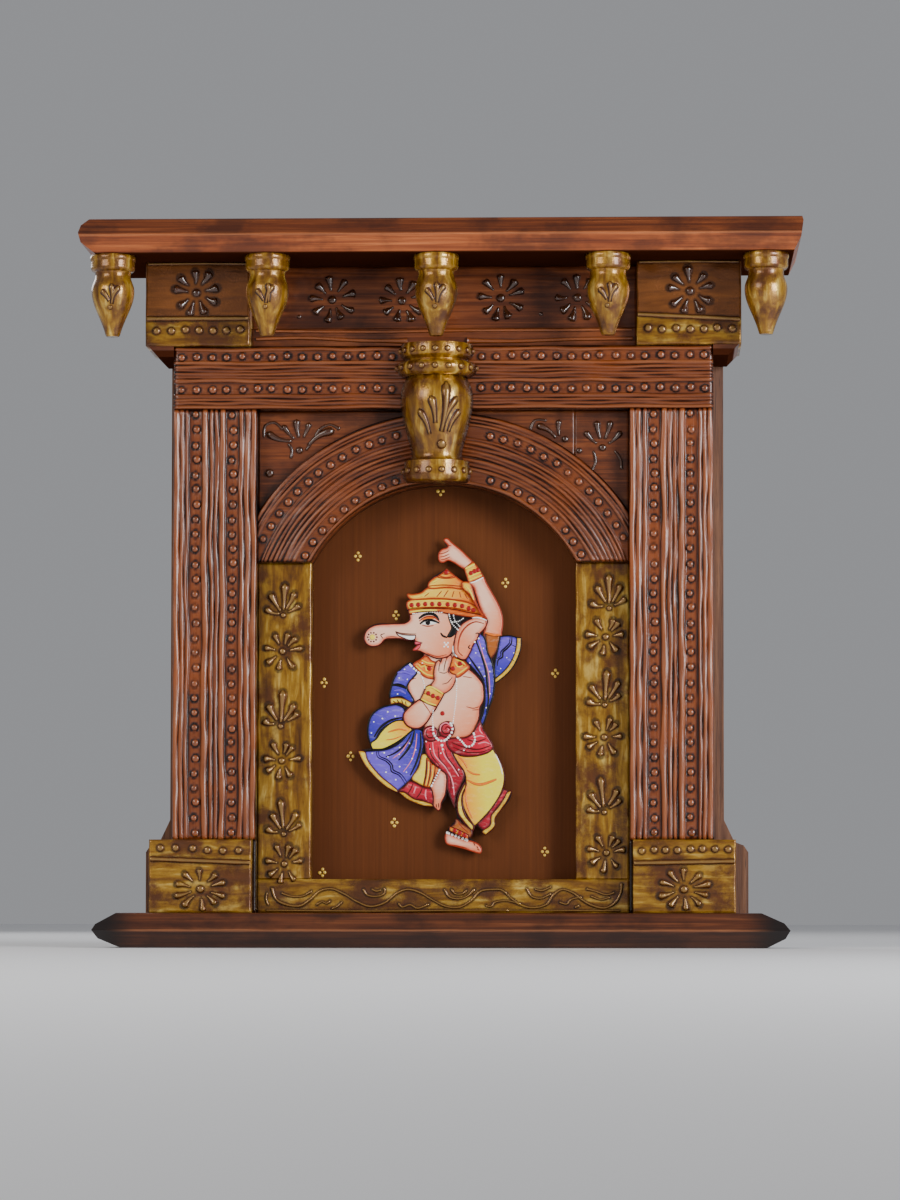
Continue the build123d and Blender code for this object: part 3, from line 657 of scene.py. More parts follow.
def build_pillar(name, side, seed):
    node = f"pillar_{name}"
    x_range, level_range, (back, crest) = measure(node)
    plinth_top = measure(f"plinth_{name}")[1][1]
    inner = min(x_range, key=abs)
    outer = max(x_range, key=abs)
    face = measure(f"pillar_beads_{name}")[2][0]
    x, level = grid((inner, outer), (plinth_top, level_range[1]), 0.42, 2.4)
    across = np.abs(x - inner)
    height = clay_lines(across, level, PILLAR_LINES, seed)
    beads = jitter([(inner + side * column, at) for column in PILLAR_BEAD_COLUMNS
                    for at in along(plinth_top + 6, level_range[1] - 5, BEAD_PITCH)], seed, 0.9)
    marks, dirt_and_shade = press_marks(x, level, beads, BEAD_RADIUS)
    dirt_and_shade = dirt_and_shade + channel_tone(across, PILLAR_BEAD_COLUMNS)
    height = height + marks
    distance = edge_distance(x, level, (inner, outer), (plinth_top, level_range[1]))
    height = height + rounded_edge(distance, 1.2)
    height = np.minimum(height, crest - face + 1.2)
    board = relief_board(f"{node}_clay", x, level, height, back, face, CLAY_UP, dirt_and_shade)
    # the inner line runs on down beside the plinth
    strip_edge = inner + side * 3.0
    strip_x, strip_level = grid((inner, strip_edge), (level_range[0], plinth_top), 0.5, 3.0)
    strip_height = rounded_edge(np.minimum(np.abs(strip_x - inner), np.abs(strip_x - strip_edge)), 1.2)
    strip = relief_board(f"{node}_tongue", strip_x, strip_level, strip_height, back, face, CLAY_UP)
    stand_for(board, node)
    stand_for(strip, node)
    clay = Clay(flat(face + 0.2))
    set_beads(clay, beads, BEAD_RADIUS, seed)
    stand_for(clay.piece(f"pillar_{name}_beads", BEAD, "clay_bead"), f"pillar_beads_{name}")


for number, (name, side) in enumerate(SIDES):
    build_pillar(name, side, 11 + number)


# ------------------------------------------------------------------ entablature
ENTABLATURE_LINES = (   # (distance up from its lower edge, half width, height)
    (1.8, 2.0, 2.2), (5.2, 1.5, 1.7), (8.0, 1.4, 1.9), (11.2, 1.8, 1.7),
    (24.6, 1.9, 2.2), (27.8, 1.4, 1.5), (30.4, 1.4, 1.9), (33.2, 1.4, 1.6), (36.2, 1.6, 1.9),
    (39.6, 1.8, 2.3), (51.4, 1.8, 1.9))
ENTABLATURE_BEAD_ROWS = (17.6, 45.3)
ENTABLATURE_BEAD_PITCH = 12.7
URN_CLEARANCE = 38.0


def build_entablature():
    x_range, (low, _), (back, _) = measure("entablature")
    face = measure("entablature_beads")[2][0]
    high = measure("carcass_top")[1][1]
    urn = sum(measure("urn_keystone")[0]) / 2
    x, level = grid(x_range, (low, high), 2.5, 0.42)
    height = clay_lines(level - low, x, ENTABLATURE_LINES, 31)
    places = [(urn + side * at, low + rise) for side in (-1, 1) for rise in ENTABLATURE_BEAD_ROWS
              for at in along(URN_CLEARANCE, x_range[1] - 7 - side * urn, ENTABLATURE_BEAD_PITCH)]
    beads = jitter(places, 32)
    marks, dirt_and_shade = press_marks(x, level, beads, BEAD_RADIUS)
    dirt_and_shade = dirt_and_shade + channel_tone(level - low, ENTABLATURE_BEAD_ROWS)
    height = height + marks + rounded_edge(edge_distance(x, level, x_range, (low, high)), 1.4)
    stand_for(relief_board("entablature_clay", x, level, height, back, face, CLAY_ACROSS,
                           dirt_and_shade), "entablature")
    clay = Clay(flat(face + 0.2))
    set_beads(clay, beads, BEAD_RADIUS, 33)
    stand_for(clay.piece("entablature_bead_rows", BEAD, "clay_bead"), "entablature_beads")


build_entablature()


# ------------------------------------------------------------------ arch
ARCH_CENTRE = 267.4
ARCH_INNER = 128.8
ARCH_OUTER = 189.3
ARCH_LINES = (          # (distance out from the inner curve, half width, height)
    (1.6, 1.7, 1.7), (13.4, 1.6, 1.9), (16.8, 1.6, 1.5), (20.4, 1.9, 2.0), (24.6, 1.6, 1.4),
    (28.2, 1.7, 1.9), (32.0, 1.6, 1.5), (35.4, 1.6, 1.9), (38.2, 1.3, 1.4), (51.0, 1.6, 1.9),
    (54.2, 1.4, 1.5), (57.6, 1.9, 1.9))
ARCH_BEAD_ROWS = (7.2, 44.8)
ARCH_BEAD_PITCH = 12.8
ARCH_LAST_BEAD = 40.0   # how far from the middle the beads stop, beside the urn


def build_arch(name, side, seed):
    node = f"arch_{name}"
    (x_low, x_high), (spring, _), (back, _) = measure(node)
    edge = max(abs(x_low), abs(x_high))
    face = measure(f"arch_beads_{name}")[2][0]
    radii = np.linspace(ARCH_INNER, ARCH_OUTER, 146)
    shares = np.linspace(0, 1, 84)
    radius, share = np.meshgrid(radii, shares)
    rise = spring - ARCH_CENTRE
    lowest = np.maximum(np.arcsin(rise / radius), np.arccos(np.minimum(1.0, edge / radius)))
    angle = lowest + (math.pi / 2 - lowest) * share
    x = side * radius * np.cos(angle)
    level = ARCH_CENTRE + radius * np.sin(angle)
    height = clay_lines(radius - ARCH_INNER, angle * ARCH_INNER, ARCH_LINES, seed)
    beads = []
    for row in ARCH_BEAD_ROWS:
        reach = ARCH_INNER + row
        first = max(math.asin((rise + 6) / reach), math.acos(min(1.0, (edge - 5) / reach)))
        last = math.acos(ARCH_LAST_BEAD / reach)
        steps = round((last - first) * reach / ARCH_BEAD_PITCH)
        for i in range(steps + 1):
            at = first + (last - first) * i / steps
            beads.append((side * reach * math.cos(at), ARCH_CENTRE + reach * math.sin(at)))
    beads = jitter(beads, seed + 1)
    marks, dirt_and_shade = press_marks(x, level, beads, BEAD_RADIUS)
    dirt_and_shade = dirt_and_shade + channel_tone(radius - ARCH_INNER, ARCH_BEAD_ROWS)
    distance = np.minimum.reduce((radius - ARCH_INNER, ARCH_OUTER - radius, level - spring,
                                  edge - np.abs(x)))
    height = height + marks + rounded_edge(np.clip(distance, 0, None), 1.2)
    stand_for(relief_board(f"{node}_clay", x, level, height, back, face, CLAY_ACROSS,
                           dirt_and_shade), node)
    clay = Clay(flat(face + 0.2))
    set_beads(clay, beads, BEAD_RADIUS, seed + 2)
    stand_for(clay.piece(f"arch_{name}_beads", BEAD, "clay_bead"), f"arch_beads_{name}")


for number, (name, side) in enumerate(SIDES):
    build_arch(name, side, 51 + 5 * number)


# ------------------------------------------------------------------ clay patterns
def petal_flower(clay, x, level, turns, inner, outer, width, seed, dot=3.0, squash=1.0):
    """Teardrops round a dot, squashed in height. turns are their directions, in degrees from the right."""
    source = random.Random(seed)
    clay.dome(x, level, dot, rise=0.7)
    for turn in turns:
        angle = math.radians(turn + source.uniform(-5, 5))
        near = inner * source.uniform(0.9, 1.15)
        far = outer * source.uniform(0.92, 1.06)
        aim = (math.cos(angle), math.sin(angle) * squash)
        clay.drop((x + near * aim[0], level + near * aim[1]), (x + far * aim[0], level + far * aim[1]),
                  width * source.uniform(0.9, 1.15), bend=source.uniform(-0.8, 0.8), tail=0.2, shape=1.3)


SPRIG_PETALS = (        # (direction from the right in degrees, start, reach, half width, bend)
    (160, 6, 17, 3.9, 1.6), (122, 6, 22, 4.0, 0.6), (91, 5, 31, 4.2, 0.0), (62, 7, 24, 3.9, -0.6),
    (36, 8, 19, 3.4, -1.0))


def petal_sprig(clay, x, level, seed, size):
    """Five teardrops fanning up from a dot."""
    source = random.Random(seed)
    clay.dome(x, level, 2.5 * size, rise=0.7)
    for turn, start, reach, width, bend in SPRIG_PETALS:
        angle = math.radians(turn + source.uniform(-5, 5))
        far = reach * source.uniform(0.9, 1.06) * size
        near = start * size * source.uniform(0.6, 1.1)
        aim = (math.cos(angle), math.sin(angle))
        clay.drop((x + near * aim[0], level + near * aim[1]), (x + far * aim[0], level + far * aim[1]),
                  width * size * source.uniform(0.95, 1.15), bend=bend * size, tail=0.3, shape=2.0)


def curve_between(before, start, end, after, step):
    """Points from start towards end on a smooth curve that also heeds its neighbours."""
    before, start, end, after = (Vector(point) for point in (before, start, end, after))
    first, middle, last = (max(length, 1e-4) ** 0.5 for length in (
        (start - before).length, (end - start).length, (after - end).length))
    leave = middle * ((start - before) / first - (end - before) / (first + middle) + (end - start) / middle)
    arrive = middle * ((end - start) / middle - (after - start) / (middle + last) + (after - end) / last)
    pieces = max(2, round((end - start).length / step))
    for i in range(pieces):
        t = i / pieces
        point = (start * (2 * t ** 3 - 3 * t ** 2 + 1) + leave * (t ** 3 - 2 * t ** 2 + t)
                 + end * (3 * t ** 2 - 2 * t ** 3) + arrive * (t ** 3 - t ** 2))
        yield (point.x, point.y)


def smooth_path(points, step=1.6):
    """A smooth line through given points."""
    ends = [points[0]] + list(points) + [points[-1]]
    line = []
    for a, b, c, d in zip(ends, ends[1:], ends[2:], ends[3:]):
        line.extend(curve_between(a, b, c, d, step))
    line.append(tuple(points[-1]))
    return line


def clay_line(clay, points, width, head=1.0, tail=1.0, seed=0):
    """A thin raised line, its ends thickened or thinned by the given factors."""
    path = smooth_path(points)
    uneven = wander(seed + 5, 22.0, 0.12)
    widths = []
    for i in range(len(path)):
        t = i / (len(path) - 1)
        near_start = max(0.0, 1 - t / 0.2)
        near_end = max(0.0, (t - 0.8) / 0.2)
        widths.append(width * (1 + uneven(i * 1.6)) * (1 + (tail - 1) * near_start + (head - 1) * near_end))
    widths[0] *= 0.5
    widths[-1] *= 0.5
    clay.string(path, widths, rise=0.9)


BOARD_STEP = 1.1        # spacing of the points of a board's front
BOARD_EDGE = 1.3        # radius of its rounded edges
BOARD_TONE = 1.2        # the relief value its flat parts are coloured by


def clay_board(node, material, seed, clay, face=None, lumps=0.22):
    """A board skinned with clay: slightly uneven, its edges worn round and coloured lighter, with painted
    shade round what lies on it.
    """
    x_range, level_range, (back, front) = measure(node)
    face = front if face is None else face
    x, level = grid(x_range, level_range, BOARD_STEP, BOARD_STEP)
    bump_x = wander(seed, 34.0, lumps)
    bump_level = wander(seed + 1, 28.0, lumps)
    height = bump_x(x + 0.4 * level) * bump_level(level - 0.3 * x) / lumps - lumps
    distance = edge_distance(x, level, x_range, level_range)
    uneven = wander(seed + 2, 40.0, 0.3)
    height = height + rounded_edge(distance + uneven(x + level) + 0.2, BOARD_EDGE)
    dirt_and_shade = BOARD_TONE - height * 0.5
    # painted shade round the clay laid on the board
    dirt_and_shade = dirt_and_shade + clay.shade_round_pads(x, level)
    # coloured lighter along the board's edges
    dirt_and_shade = dirt_and_shade + 1.4 * np.exp(-(distance / 1.4) ** 2)
    stand_for(relief_board(f"{node}_skin", x, level, np.minimum(height, 0.2), back, face, material,
                           dirt_and_shade), node)


# ------------------------------------------------------------------ plinths and frieze blocks
PETALS_OF_TEN = tuple(90 + 36 * i for i in range(10))
PETALS_OF_NINE = tuple(95 + 40 * i for i in range(9))


# For each side: (level of the clay line, its rise across the plinth, beads, how far in they start)
PLINTH_BANDS = {"left": (73.5, -3.2, 6, 10.0), "right": (72.5, 1.6, 8, 7.0)}
PLINTH_BEAD_LEVEL = 83.0
PLINTH_FLOWER = (204.5, 49.5)


def build_plinth(name, side, seed):
    node = f"plinth_{name}"
    (x_low, x_high), _, (_, front) = measure(node)
    clay = Clay(flat(front))
    line, slope, beads, margin = PLINTH_BANDS[name]
    middle = (x_low + x_high) / 2
    clay_line(clay, [(x_low + 1, line - slope / 2), (middle, line), (x_high - 1, line + slope / 2)], 2.3,
              seed=seed)
    for x, level in jitter([(at, PLINTH_BEAD_LEVEL + slope * (at - middle) / 80 * 0.8)
                            for at in np.linspace(x_low + margin, x_high - margin, beads)], seed):
        clay.dome(x, level, 3.3, rise=0.65)
    petal_flower(clay, side * PLINTH_FLOWER[0], PLINTH_FLOWER[1], PETALS_OF_TEN, 9.0, 23.0, 3.1, seed + 3,
                 dot=3.6, squash=0.8)
    clay_board(node, GOLD_ACROSS, seed, clay)
    stand_for(clay.piece(f"{node}_relief", GOLD_CLAY, "gold_clay"), f"plinth_beads_{name}",
              "plinth_flowers")


BLOCK_BAND = 536.0
BLOCK_BAND_RISE = {"left": 0.0, "right": -4.5}
BLOCK_BEAD_LEVEL = 526.0
BLOCK_FLOWER = (210.5, 558.0)
BLOCK_GOLD = antique_gold("block_gold", "X", relief_name="relief", gold_below=BLOCK_BAND)


def build_block(name, side, seed):
    node = f"frieze_block_{name}"
    (x_low, x_high), (_, high), _ = measure(node)
    face = measure(f"block_beads_{name}")[2][0]
    clay = Clay(flat(face))
    slope = BLOCK_BAND_RISE[name]
    middle = (x_low + x_high) / 2
    clay_line(clay, [(x_low + 1, BLOCK_BAND - slope / 2), (middle, BLOCK_BAND),
                     (x_high - 1, BLOCK_BAND + slope / 2)], 2.2, seed=seed)
    clay_line(clay, [(x_low + 2, high - 1.6), (middle, high - 1.3), (x_high - 2, high - 1.6)], 1.1,
              seed=seed + 4)
    for x, level in jitter([(at, BLOCK_BEAD_LEVEL) for at in np.linspace(x_low + 10, x_high - 8, 7)], seed):
        clay.dome(x, level, 3.5, rise=0.62)
    stand_for(clay.piece(f"{node}_band_relief", GOLD_CLAY, "gold_clay"), f"block_beads_{name}")
    petals = Clay(flat(face))
    petal_flower(petals, side * BLOCK_FLOWER[0], BLOCK_FLOWER[1], PETALS_OF_NINE, 8.5, 20.5, 3.5, seed + 3,
                 dot=3.6)
    stand_for(petals.piece(f"{node}_flower", PETAL, "clay_bead"), "block_flowers")
    both = Clay(flat(face))
    both.marks = clay.marks + petals.marks
    clay_board(node, BLOCK_GOLD, seed, both, face=face)


for number, (name, side) in enumerate(SIDES):
    build_plinth(name, side, 71 + 7 * number)
    build_block(name, side, 91 + 7 * number)


# ------------------------------------------------------------------ frieze board and fillet
FRIEZE_FLOWERS = ((-96.5, 556.0), (-36.5, 555.0), (48.5, 557.0), (114.5, 557.0))
FRIEZE_DOTS = ((-125.0, 541.5), (83.0, 543.0))


def build_frieze():
    face = measure("frieze_board")[2][1]
    clay = Clay(flat(face))
    for number, (x, level) in enumerate(FRIEZE_FLOWERS):
        petal_flower(clay, x, level, PETALS_OF_NINE, 8.0, 20.5, 3.6, 111 + number, dot=3.8)
    for x, level in FRIEZE_DOTS:
        clay.dome(x, level, 1.8)
    stand_for(clay.piece("frieze_clay_flowers", PETAL, "clay_bead"), "frieze_flowers")
    clay_board("frieze_board", WOOD_ACROSS, 117, clay, lumps=0.1)
    (x_low, x_high), (low, high), (_, front) = measure("frieze_fillet")
    lines = Clay(flat(front))
    clay_line(lines, [(x_low + 4, low + 7.5), (-120, low + 8.5), (-70, low + 6), (-31, low + 5.5)], 1.6,
              head=1.9, seed=121)
    clay_line(lines, [(20, low + 5.5), (60, low + 5), (110, low + 6.5), (x_high - 3, low + 7)], 1.6,
              tail=1.9, seed=123)
    clay_line(lines, [(x_low + 4, high - 2.0), (-60, high - 3.2), (20, high - 2.4),
                      (x_high - 4, high - 2.2)], 1.3, seed=125)
    lines.piece("fillet_lines", CLAY_ACROSS, "stained_clay")
    clay_board("frieze_fillet", WOOD_ACROSS, 127, lines)


build_frieze()


# ------------------------------------------------------------------ golden niche frame
LEFT_SPRIGS = ((-137.0, 283.5), (-139.0, 188.5), (-136.0, 96.5))
RIGHT_SPRIGS = ((141.5, 289.0), (137.5, 206.5), (137.0, 115.0))
LEFT_FLOWERS = ((-137.5, 252.5), (-138.0, 159.0), (-135.5, 71.0))
RIGHT_FLOWERS = ((138.5, 264.5), (137.0, 179.0), (139.0, 80.5))
UPRIGHT_PETALS = (8, 48, 72, 118, 172, 214, 258, 306)


def build_upright(name, sprigs, flowers, seed):
    node = f"frame_upright_{name}"
    face = measure(node)[2][1]
    clay = Clay(flat(face))
    for number, (x, level) in enumerate(sprigs):
        petal_sprig(clay, x, level, seed + number, size=0.96)
    for number, (x, level) in enumerate(flowers):
        petal_flower(clay, x, level, UPRIGHT_PETALS, 6.5, 17.0, 3.2, seed + 10 + number, dot=3.0)
    clay_board(node, GOLD_UP, seed, clay)
    stand_for(clay.piece(f"{node}_relief", GOLD_CLAY, "gold_clay"), f"upright_relief_{name}")


build_upright("left", LEFT_SPRIGS, LEFT_FLOWERS, 131)
build_upright("right", RIGHT_SPRIGS, RIGHT_FLOWERS, 151)

VINE = ((-146, 51), (-143, 42), (-135, 37), (-122, 35.5), (-113, 41), (-105, 48), (-95, 50), (-85, 46),
        (-73, 39), (-62, 35), (-50, 38), (-38, 47), (-30, 49.5), (-20, 47), (-8, 40), (3, 35), (14, 34.5),
        (24, 40), (32, 48), (42, 49.5), (50, 49), (57, 43), (66, 36.5), (77, 34), (88, 37), (94, 45),
        (101, 49.5), (110, 47), (118, 41), (127, 36), (138, 34), (147, 39), (151, 47), (152, 55))
VINE_CURLS = (
    ((-138, 46.5), (-129, 43.5), (-119, 44), (-112, 48)), ((-150, 47), (-151, 41), (-149, 36)),
    ((-108, 36), (-103, 39), (-99, 37.5), (-96, 40)), ((-86, 39), (-90, 35), (-95, 33)),
    ((-68, 50), (-65, 45), (-57, 43.5), (-50, 46), (-50, 51)), ((-61, 50), (-57, 48), (-53, 49)),
    ((-38, 38), (-35, 34.5), (-28, 36.5), (-22, 33.5), (-12, 37)),
    ((1, 50), (5, 43.5), (13, 41.5), (21, 44), (27, 50)), ((7, 50), (10, 46), (17, 46), (20, 49)),
    ((36, 36), (41, 35), (44, 38.5), (54, 40), (66, 37)), ((53, 32), (56, 31.5)),
    ((71, 51), (75, 44), (83, 42), (92, 46)), ((78, 50), (84, 48.5), (92, 52)),
    ((99, 39), (105, 37), (109, 41), (118, 43)), ((112, 34), (116, 36)),
    ((122, 50), (130, 48), (139, 45), (146, 47)), ((126, 44), (134, 41), (142, 43)))


def build_rail():
    (x_low, x_high), (low, _), (_, face) = measure("frame_rail")
    clay = Clay(flat(face))
    clay_line(clay, VINE, 1.15, head=1.3, tail=1.3, seed=171)
    for number, curl in enumerate(VINE_CURLS):
        clay_line(clay, curl, 1.0, head=1.7, tail=1.3, seed=173 + number)
    clay_line(clay, [(x_low + 8, low + 2.2), (-60, low + 1.6), (40, low + 2.4), (x_high - 8, low + 2.0)],
              0.9, seed=199)
    clay_board("frame_rail", GOLD_ACROSS, 201, clay)
    stand_for(clay.piece("frame_rail_vine", GOLD_CLAY, "gold_clay"), "rail_vine")


build_rail()


# ------------------------------------------------------------------ corner boards over the arch
# Each corner: its teardrops (start, end, half width, bend), its curled lines, and its dots.
LEFT_CORNER = (
    (((-124, 436), (-126, 452), 3.4, 0.8), ((-128, 435), (-138, 447), 2.6, 0.6),
     ((-120, 436), (-115, 449), 2.6, -0.5), ((-116, 429), (-93, 442), 4.0, 3.0),
     ((-130, 433), (-152, 441), 3.4, 2.4)),
    (((-118, 425), (-112, 433), (-106, 443), (-97, 447), (-89, 443)),
     ((-154, 436), (-153, 446), (-145, 449), (-138, 443)), ((-133, 431), (-130, 425), (-131, 418))),
    ((-123.5, 425, 3.2), (-149, 405.5, 3.8)))
RIGHT_CORNER = (
    (((96, 435), (79, 446), 3.2, -2.2), ((99, 437), (99, 451), 2.6, 0.8)),
    (((74, 441), (78, 450), (88, 450)),),
    ((104, 434, 2.8),))
OUTER_CORNER = (
    (((131, 430), (121, 441), 2.9, 0.8), ((134, 434), (131, 450), 3.0, 0.6),
     ((138, 434), (143, 450), 3.0, -0.6), ((141, 430), (152, 441), 2.8, -1.0)),
    (((128, 424), (130, 414), (126, 406)), ((146, 424), (151, 417), (152, 408))),
    ((136, 426.5, 3.2), (116, 424, 2.6)))


def build_corner(node, corner, seed):
    drops, curls, dots = corner
    x_range, (spring, high), (back, face) = measure(node)
    clay = Clay(flat(face))
    for start, end, width, bend in drops:
        clay.drop(start, end, width, bend=bend, tail=0.3)
    for number, curl in enumerate(curls):
        clay_line(clay, curl, 1.2, head=1.7, tail=0.8, seed=seed + number)
    for x, level, radius in dots:
        clay.dome(x, level, radius, rise=0.75)
    columns = max(12, round(abs(x_range[1] - x_range[0]) / 1.3))
    share, x = np.meshgrid(np.linspace(0, 1, 100), np.linspace(*x_range, columns), indexing="ij")
    curve = ARCH_CENTRE + np.sqrt(np.clip(ARCH_INNER ** 2 - x ** 2, 0, None))
    start = np.maximum(spring, curve)
    level = start + (high - start) * share
    lump = wander(seed, 40.0, 0.2)
    distance = np.minimum.reduce((x - x_range[0], x_range[1] - x, high - level))
    height = lump(x + level * 0.6) + rounded_edge(distance, 0.9) - 0.2
    dirt_and_shade = 1.2 + clay.shade_round_pads(x, level)
    stand_for(relief_board(f"{node}_skin", x, level, np.minimum(height, 0), back, face, WOOD_ACROSS,
                           dirt_and_shade), node)
    stand_for(clay.piece(f"{node}_relief", PETAL, "clay_bead"), "spandrel_relief")


build_corner("spandrel_left", LEFT_CORNER, 211)
build_corner("spandrel_right", RIGHT_CORNER, 221)
build_corner("spandrel_right_outer", OUTER_CORNER, 231)


# ------------------------------------------------------------------ drops and urn
def turned_radius(node, middle_x, middle_out):
    """The outer radius of a turned node at a level, read from its own surface."""
    points = [vertex.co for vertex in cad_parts[node].data.vertices]
    rings = {}
    for point in points:
        level = round((point.z - BASE_Z) / MM * 2) / 2
        radius = math.hypot(point.x / MM - middle_x, -point.y / MM - middle_out)
        rings[level] = max(rings.get(level, 0.0), radius)
    levels = sorted(rings)

    def radius_at(level):
        return float(np.interp(level, levels, [rings[at] for at in levels]))
    return radius_at


# the pendants' gold fades to stain towards the back: unpainted there, and painted shade on their sides
PENDANT_GOLD = antique_gold("pendant_gold", "Z", wear=0.46, front_gold_side_shade=(122.0, 137.0))
PENDANT_COUNT = 5
PENDANT_BULB = 34       # how far the middle of the bulb lies above the tip
PENDANT_SPRIG = (       # (start, end, half width, bend) from the middle of the bulb
    ((0.5, -8), (7.5, 7), 2.6, 1.6), ((-1.5, -6), (-8.5, 4), 2.3, -0.4), ((1.5, -7), (1.0, 9), 2.3, -0.6))


def build_pendants():
    for number in range(1, PENDANT_COUNT + 1):
        node = f"pendant_{number}"
        (x_low, x_high), (low, _), (back, front) = measure(node)
        middle = (x_low + x_high) / 2
        middle_out = (back + front) / 2
        dress(node, PENDANT_GOLD)
        if number == PENDANT_COUNT:
            continue
        clay = Clay(around(middle, middle_out, turned_radius(node, middle, middle_out)))
        source = random.Random(240 + number)
        centre = low + PENDANT_BULB
        for start, end, width, bend in PENDANT_SPRIG:
            shift = source.uniform(-1, 1)
            clay.drop((middle + start[0] + shift, centre + start[1]),
                      (middle + end[0] + shift, centre + end[1]), width, bend=bend, tail=0.3)
        clay.dome(middle - 0.5, centre - 11, 2.1, rise=0.8)
        # a dark low pad under the sprig: painted shade round it
        clay.halo().piece(f"{node}_sprig_shade", HALO_SHADE, "gold_clay")
        clay.piece(f"{node}_sprig", GOLD_CLAY, "gold_clay")


URN_DROPS = (           # (start, end, half width, bend) from the urn's middle line
    ((-5, 434), (-15, 455), 3.0, -1.6), ((0, 443), (-4, 466), 3.3, -1.0), ((5, 436), (9, 479), 4.0, -2.0),
    ((6.5, 440), (20, 466), 3.0, 2.0), ((11, 436), (23, 455), 2.8, 1.6))
URN_BEAD_RINGS = ((404.0, 8, 2.9), (491.5, 9, 2.9), (506.5, 9, 2.7))     # (level, beads, bead radius)


def build_urn():
    (x_low, x_high), _, (back, _) = measure("urn_keystone")
    middle = (x_low + x_high) / 2
    radius_at = turned_radius("urn_keystone", middle, back)
    clay = Clay(around(middle, back, radius_at))
    for start, end, width, bend in URN_DROPS:
        clay.drop((middle + start[0], start[1]), (middle + end[0], end[1]), width, bend=bend, tail=0.3)
    clay.dome(middle + 5, 425.5, 4.2, rise=0.8)
    for level, count, bead_radius in URN_BEAD_RINGS:
        reach = radius_at(level) * math.pi / 2 * 0.86
        for x in np.linspace(-reach, reach, count):
            clay.dome(middle + x, level, bead_radius, rise=0.75)
    # the urn's gold fades to stain towards the back: unpainted there, and painted shade on its sides
    dress("urn_keystone", antique_gold("urn_gold", "Z", front_gold_side_shade=(98.0, 114.0)))
    # dark low pads under the urn's clay: painted shade round it
    clay.halo().piece("urn_relief_shade", HALO_SHADE, "gold_clay")
    stand_for(clay.piece("urn_relief", GOLD_CLAY, "gold_clay"), "urn_beads")


build_pendants()
build_urn()


# ------------------------------------------------------------------ niche panel and its dots
DOT_GROUPS = ((-75, 336), (52, 313), (-42, 285), (-104, 227), (95, 235), (-81, 164),
              (-43, 107), (86, 82), (-105, 64), (-4, 392))
DOT_OFFSETS = ((-2.1, 0), (2.1, 0), (0, 2.9), (0, -2.9))
HIGHEST_DOT = 394       # a dot above this level would lie under the arch


def build_panel():
    face = measure("niche_panel")[2][1]
    dress("niche_panel", PANEL)
    gold = Finish("dot_gold", roughness=0.3, coat=0.4, metallic=0.2)
    speck = gold.noise((1.0, 1.0, 1.0))
    gold.finish(gold.ramp(speck, [(0.3, tint(214, 164, 50)), (0.7, tint(252, 218, 104))]), None,
                [(speck, 0.08)])
    clay = Clay(flat(face))
    source = random.Random(261)
    for x, level in DOT_GROUPS:
        for across, up in DOT_OFFSETS:
            if level + up < HIGHEST_DOT:
                clay.dome(x + across + source.uniform(-0.3, 0.3), level + up + source.uniform(-0.3, 0.3),
                          1.45 * source.uniform(0.85, 1.1), rise=0.5, sunk=0.3)
    stand_for(clay.piece("panel_gold_dots", gold.material, "gold_dot"), "panel_dots")


build_panel()


# ------------------------------------------------------------------ painted figure
# The cut-out is painted in thin coats, one over another, so each coat is a patch with a soft edge.
COAT = 0.08
PILLOW = 0.24
INK_RISE = 0.14
CELL = 0.5
PILLOW_REACH = 2.6      # how far in from its rim a coat is still rising
LOOP_STEP = 1.3


def smooth_loop(points):
    """A smooth closed line through given points; a point given twice is a corner."""
    loop = []
    around_it = points[-1:] + points + points[:2]
    for a, b, c, d in zip(around_it, around_it[1:], around_it[2:], around_it[3:]):
        if b != c:
            loop.extend(curve_between(a, b, c, d, LOOP_STEP))
    return loop


def inside(loop, x, level):
    """Which points lie inside a closed line."""
    hit = np.zeros(x.shape, bool)
    for (ax, a_level), (bx, b_level) in zip(loop, loop[1:] + loop[:1]):
        if a_level != b_level:
            crosses = (a_level > level) != (b_level > level)
            hit ^= crosses & (x < (bx - ax) * (level - a_level) / (b_level - a_level) + ax)
    return hit


def inset(loop, x, level):
    """The distance from each point to a closed line."""
    nearest = np.full(x.shape, 1e9)
    for (ax, a_level), (bx, b_level) in zip(loop, loop[1:] + loop[:1]):
        run_x = bx - ax
        run_level = b_level - a_level
        length = max(run_x ** 2 + run_level ** 2, 1e-9)
        share = np.clip(((x - ax) * run_x + (level - a_level) * run_level) / length, 0, 1)
        nearest = np.minimum(nearest, np.hypot(x - ax - share * run_x, level - a_level - share * run_level))
    return nearest


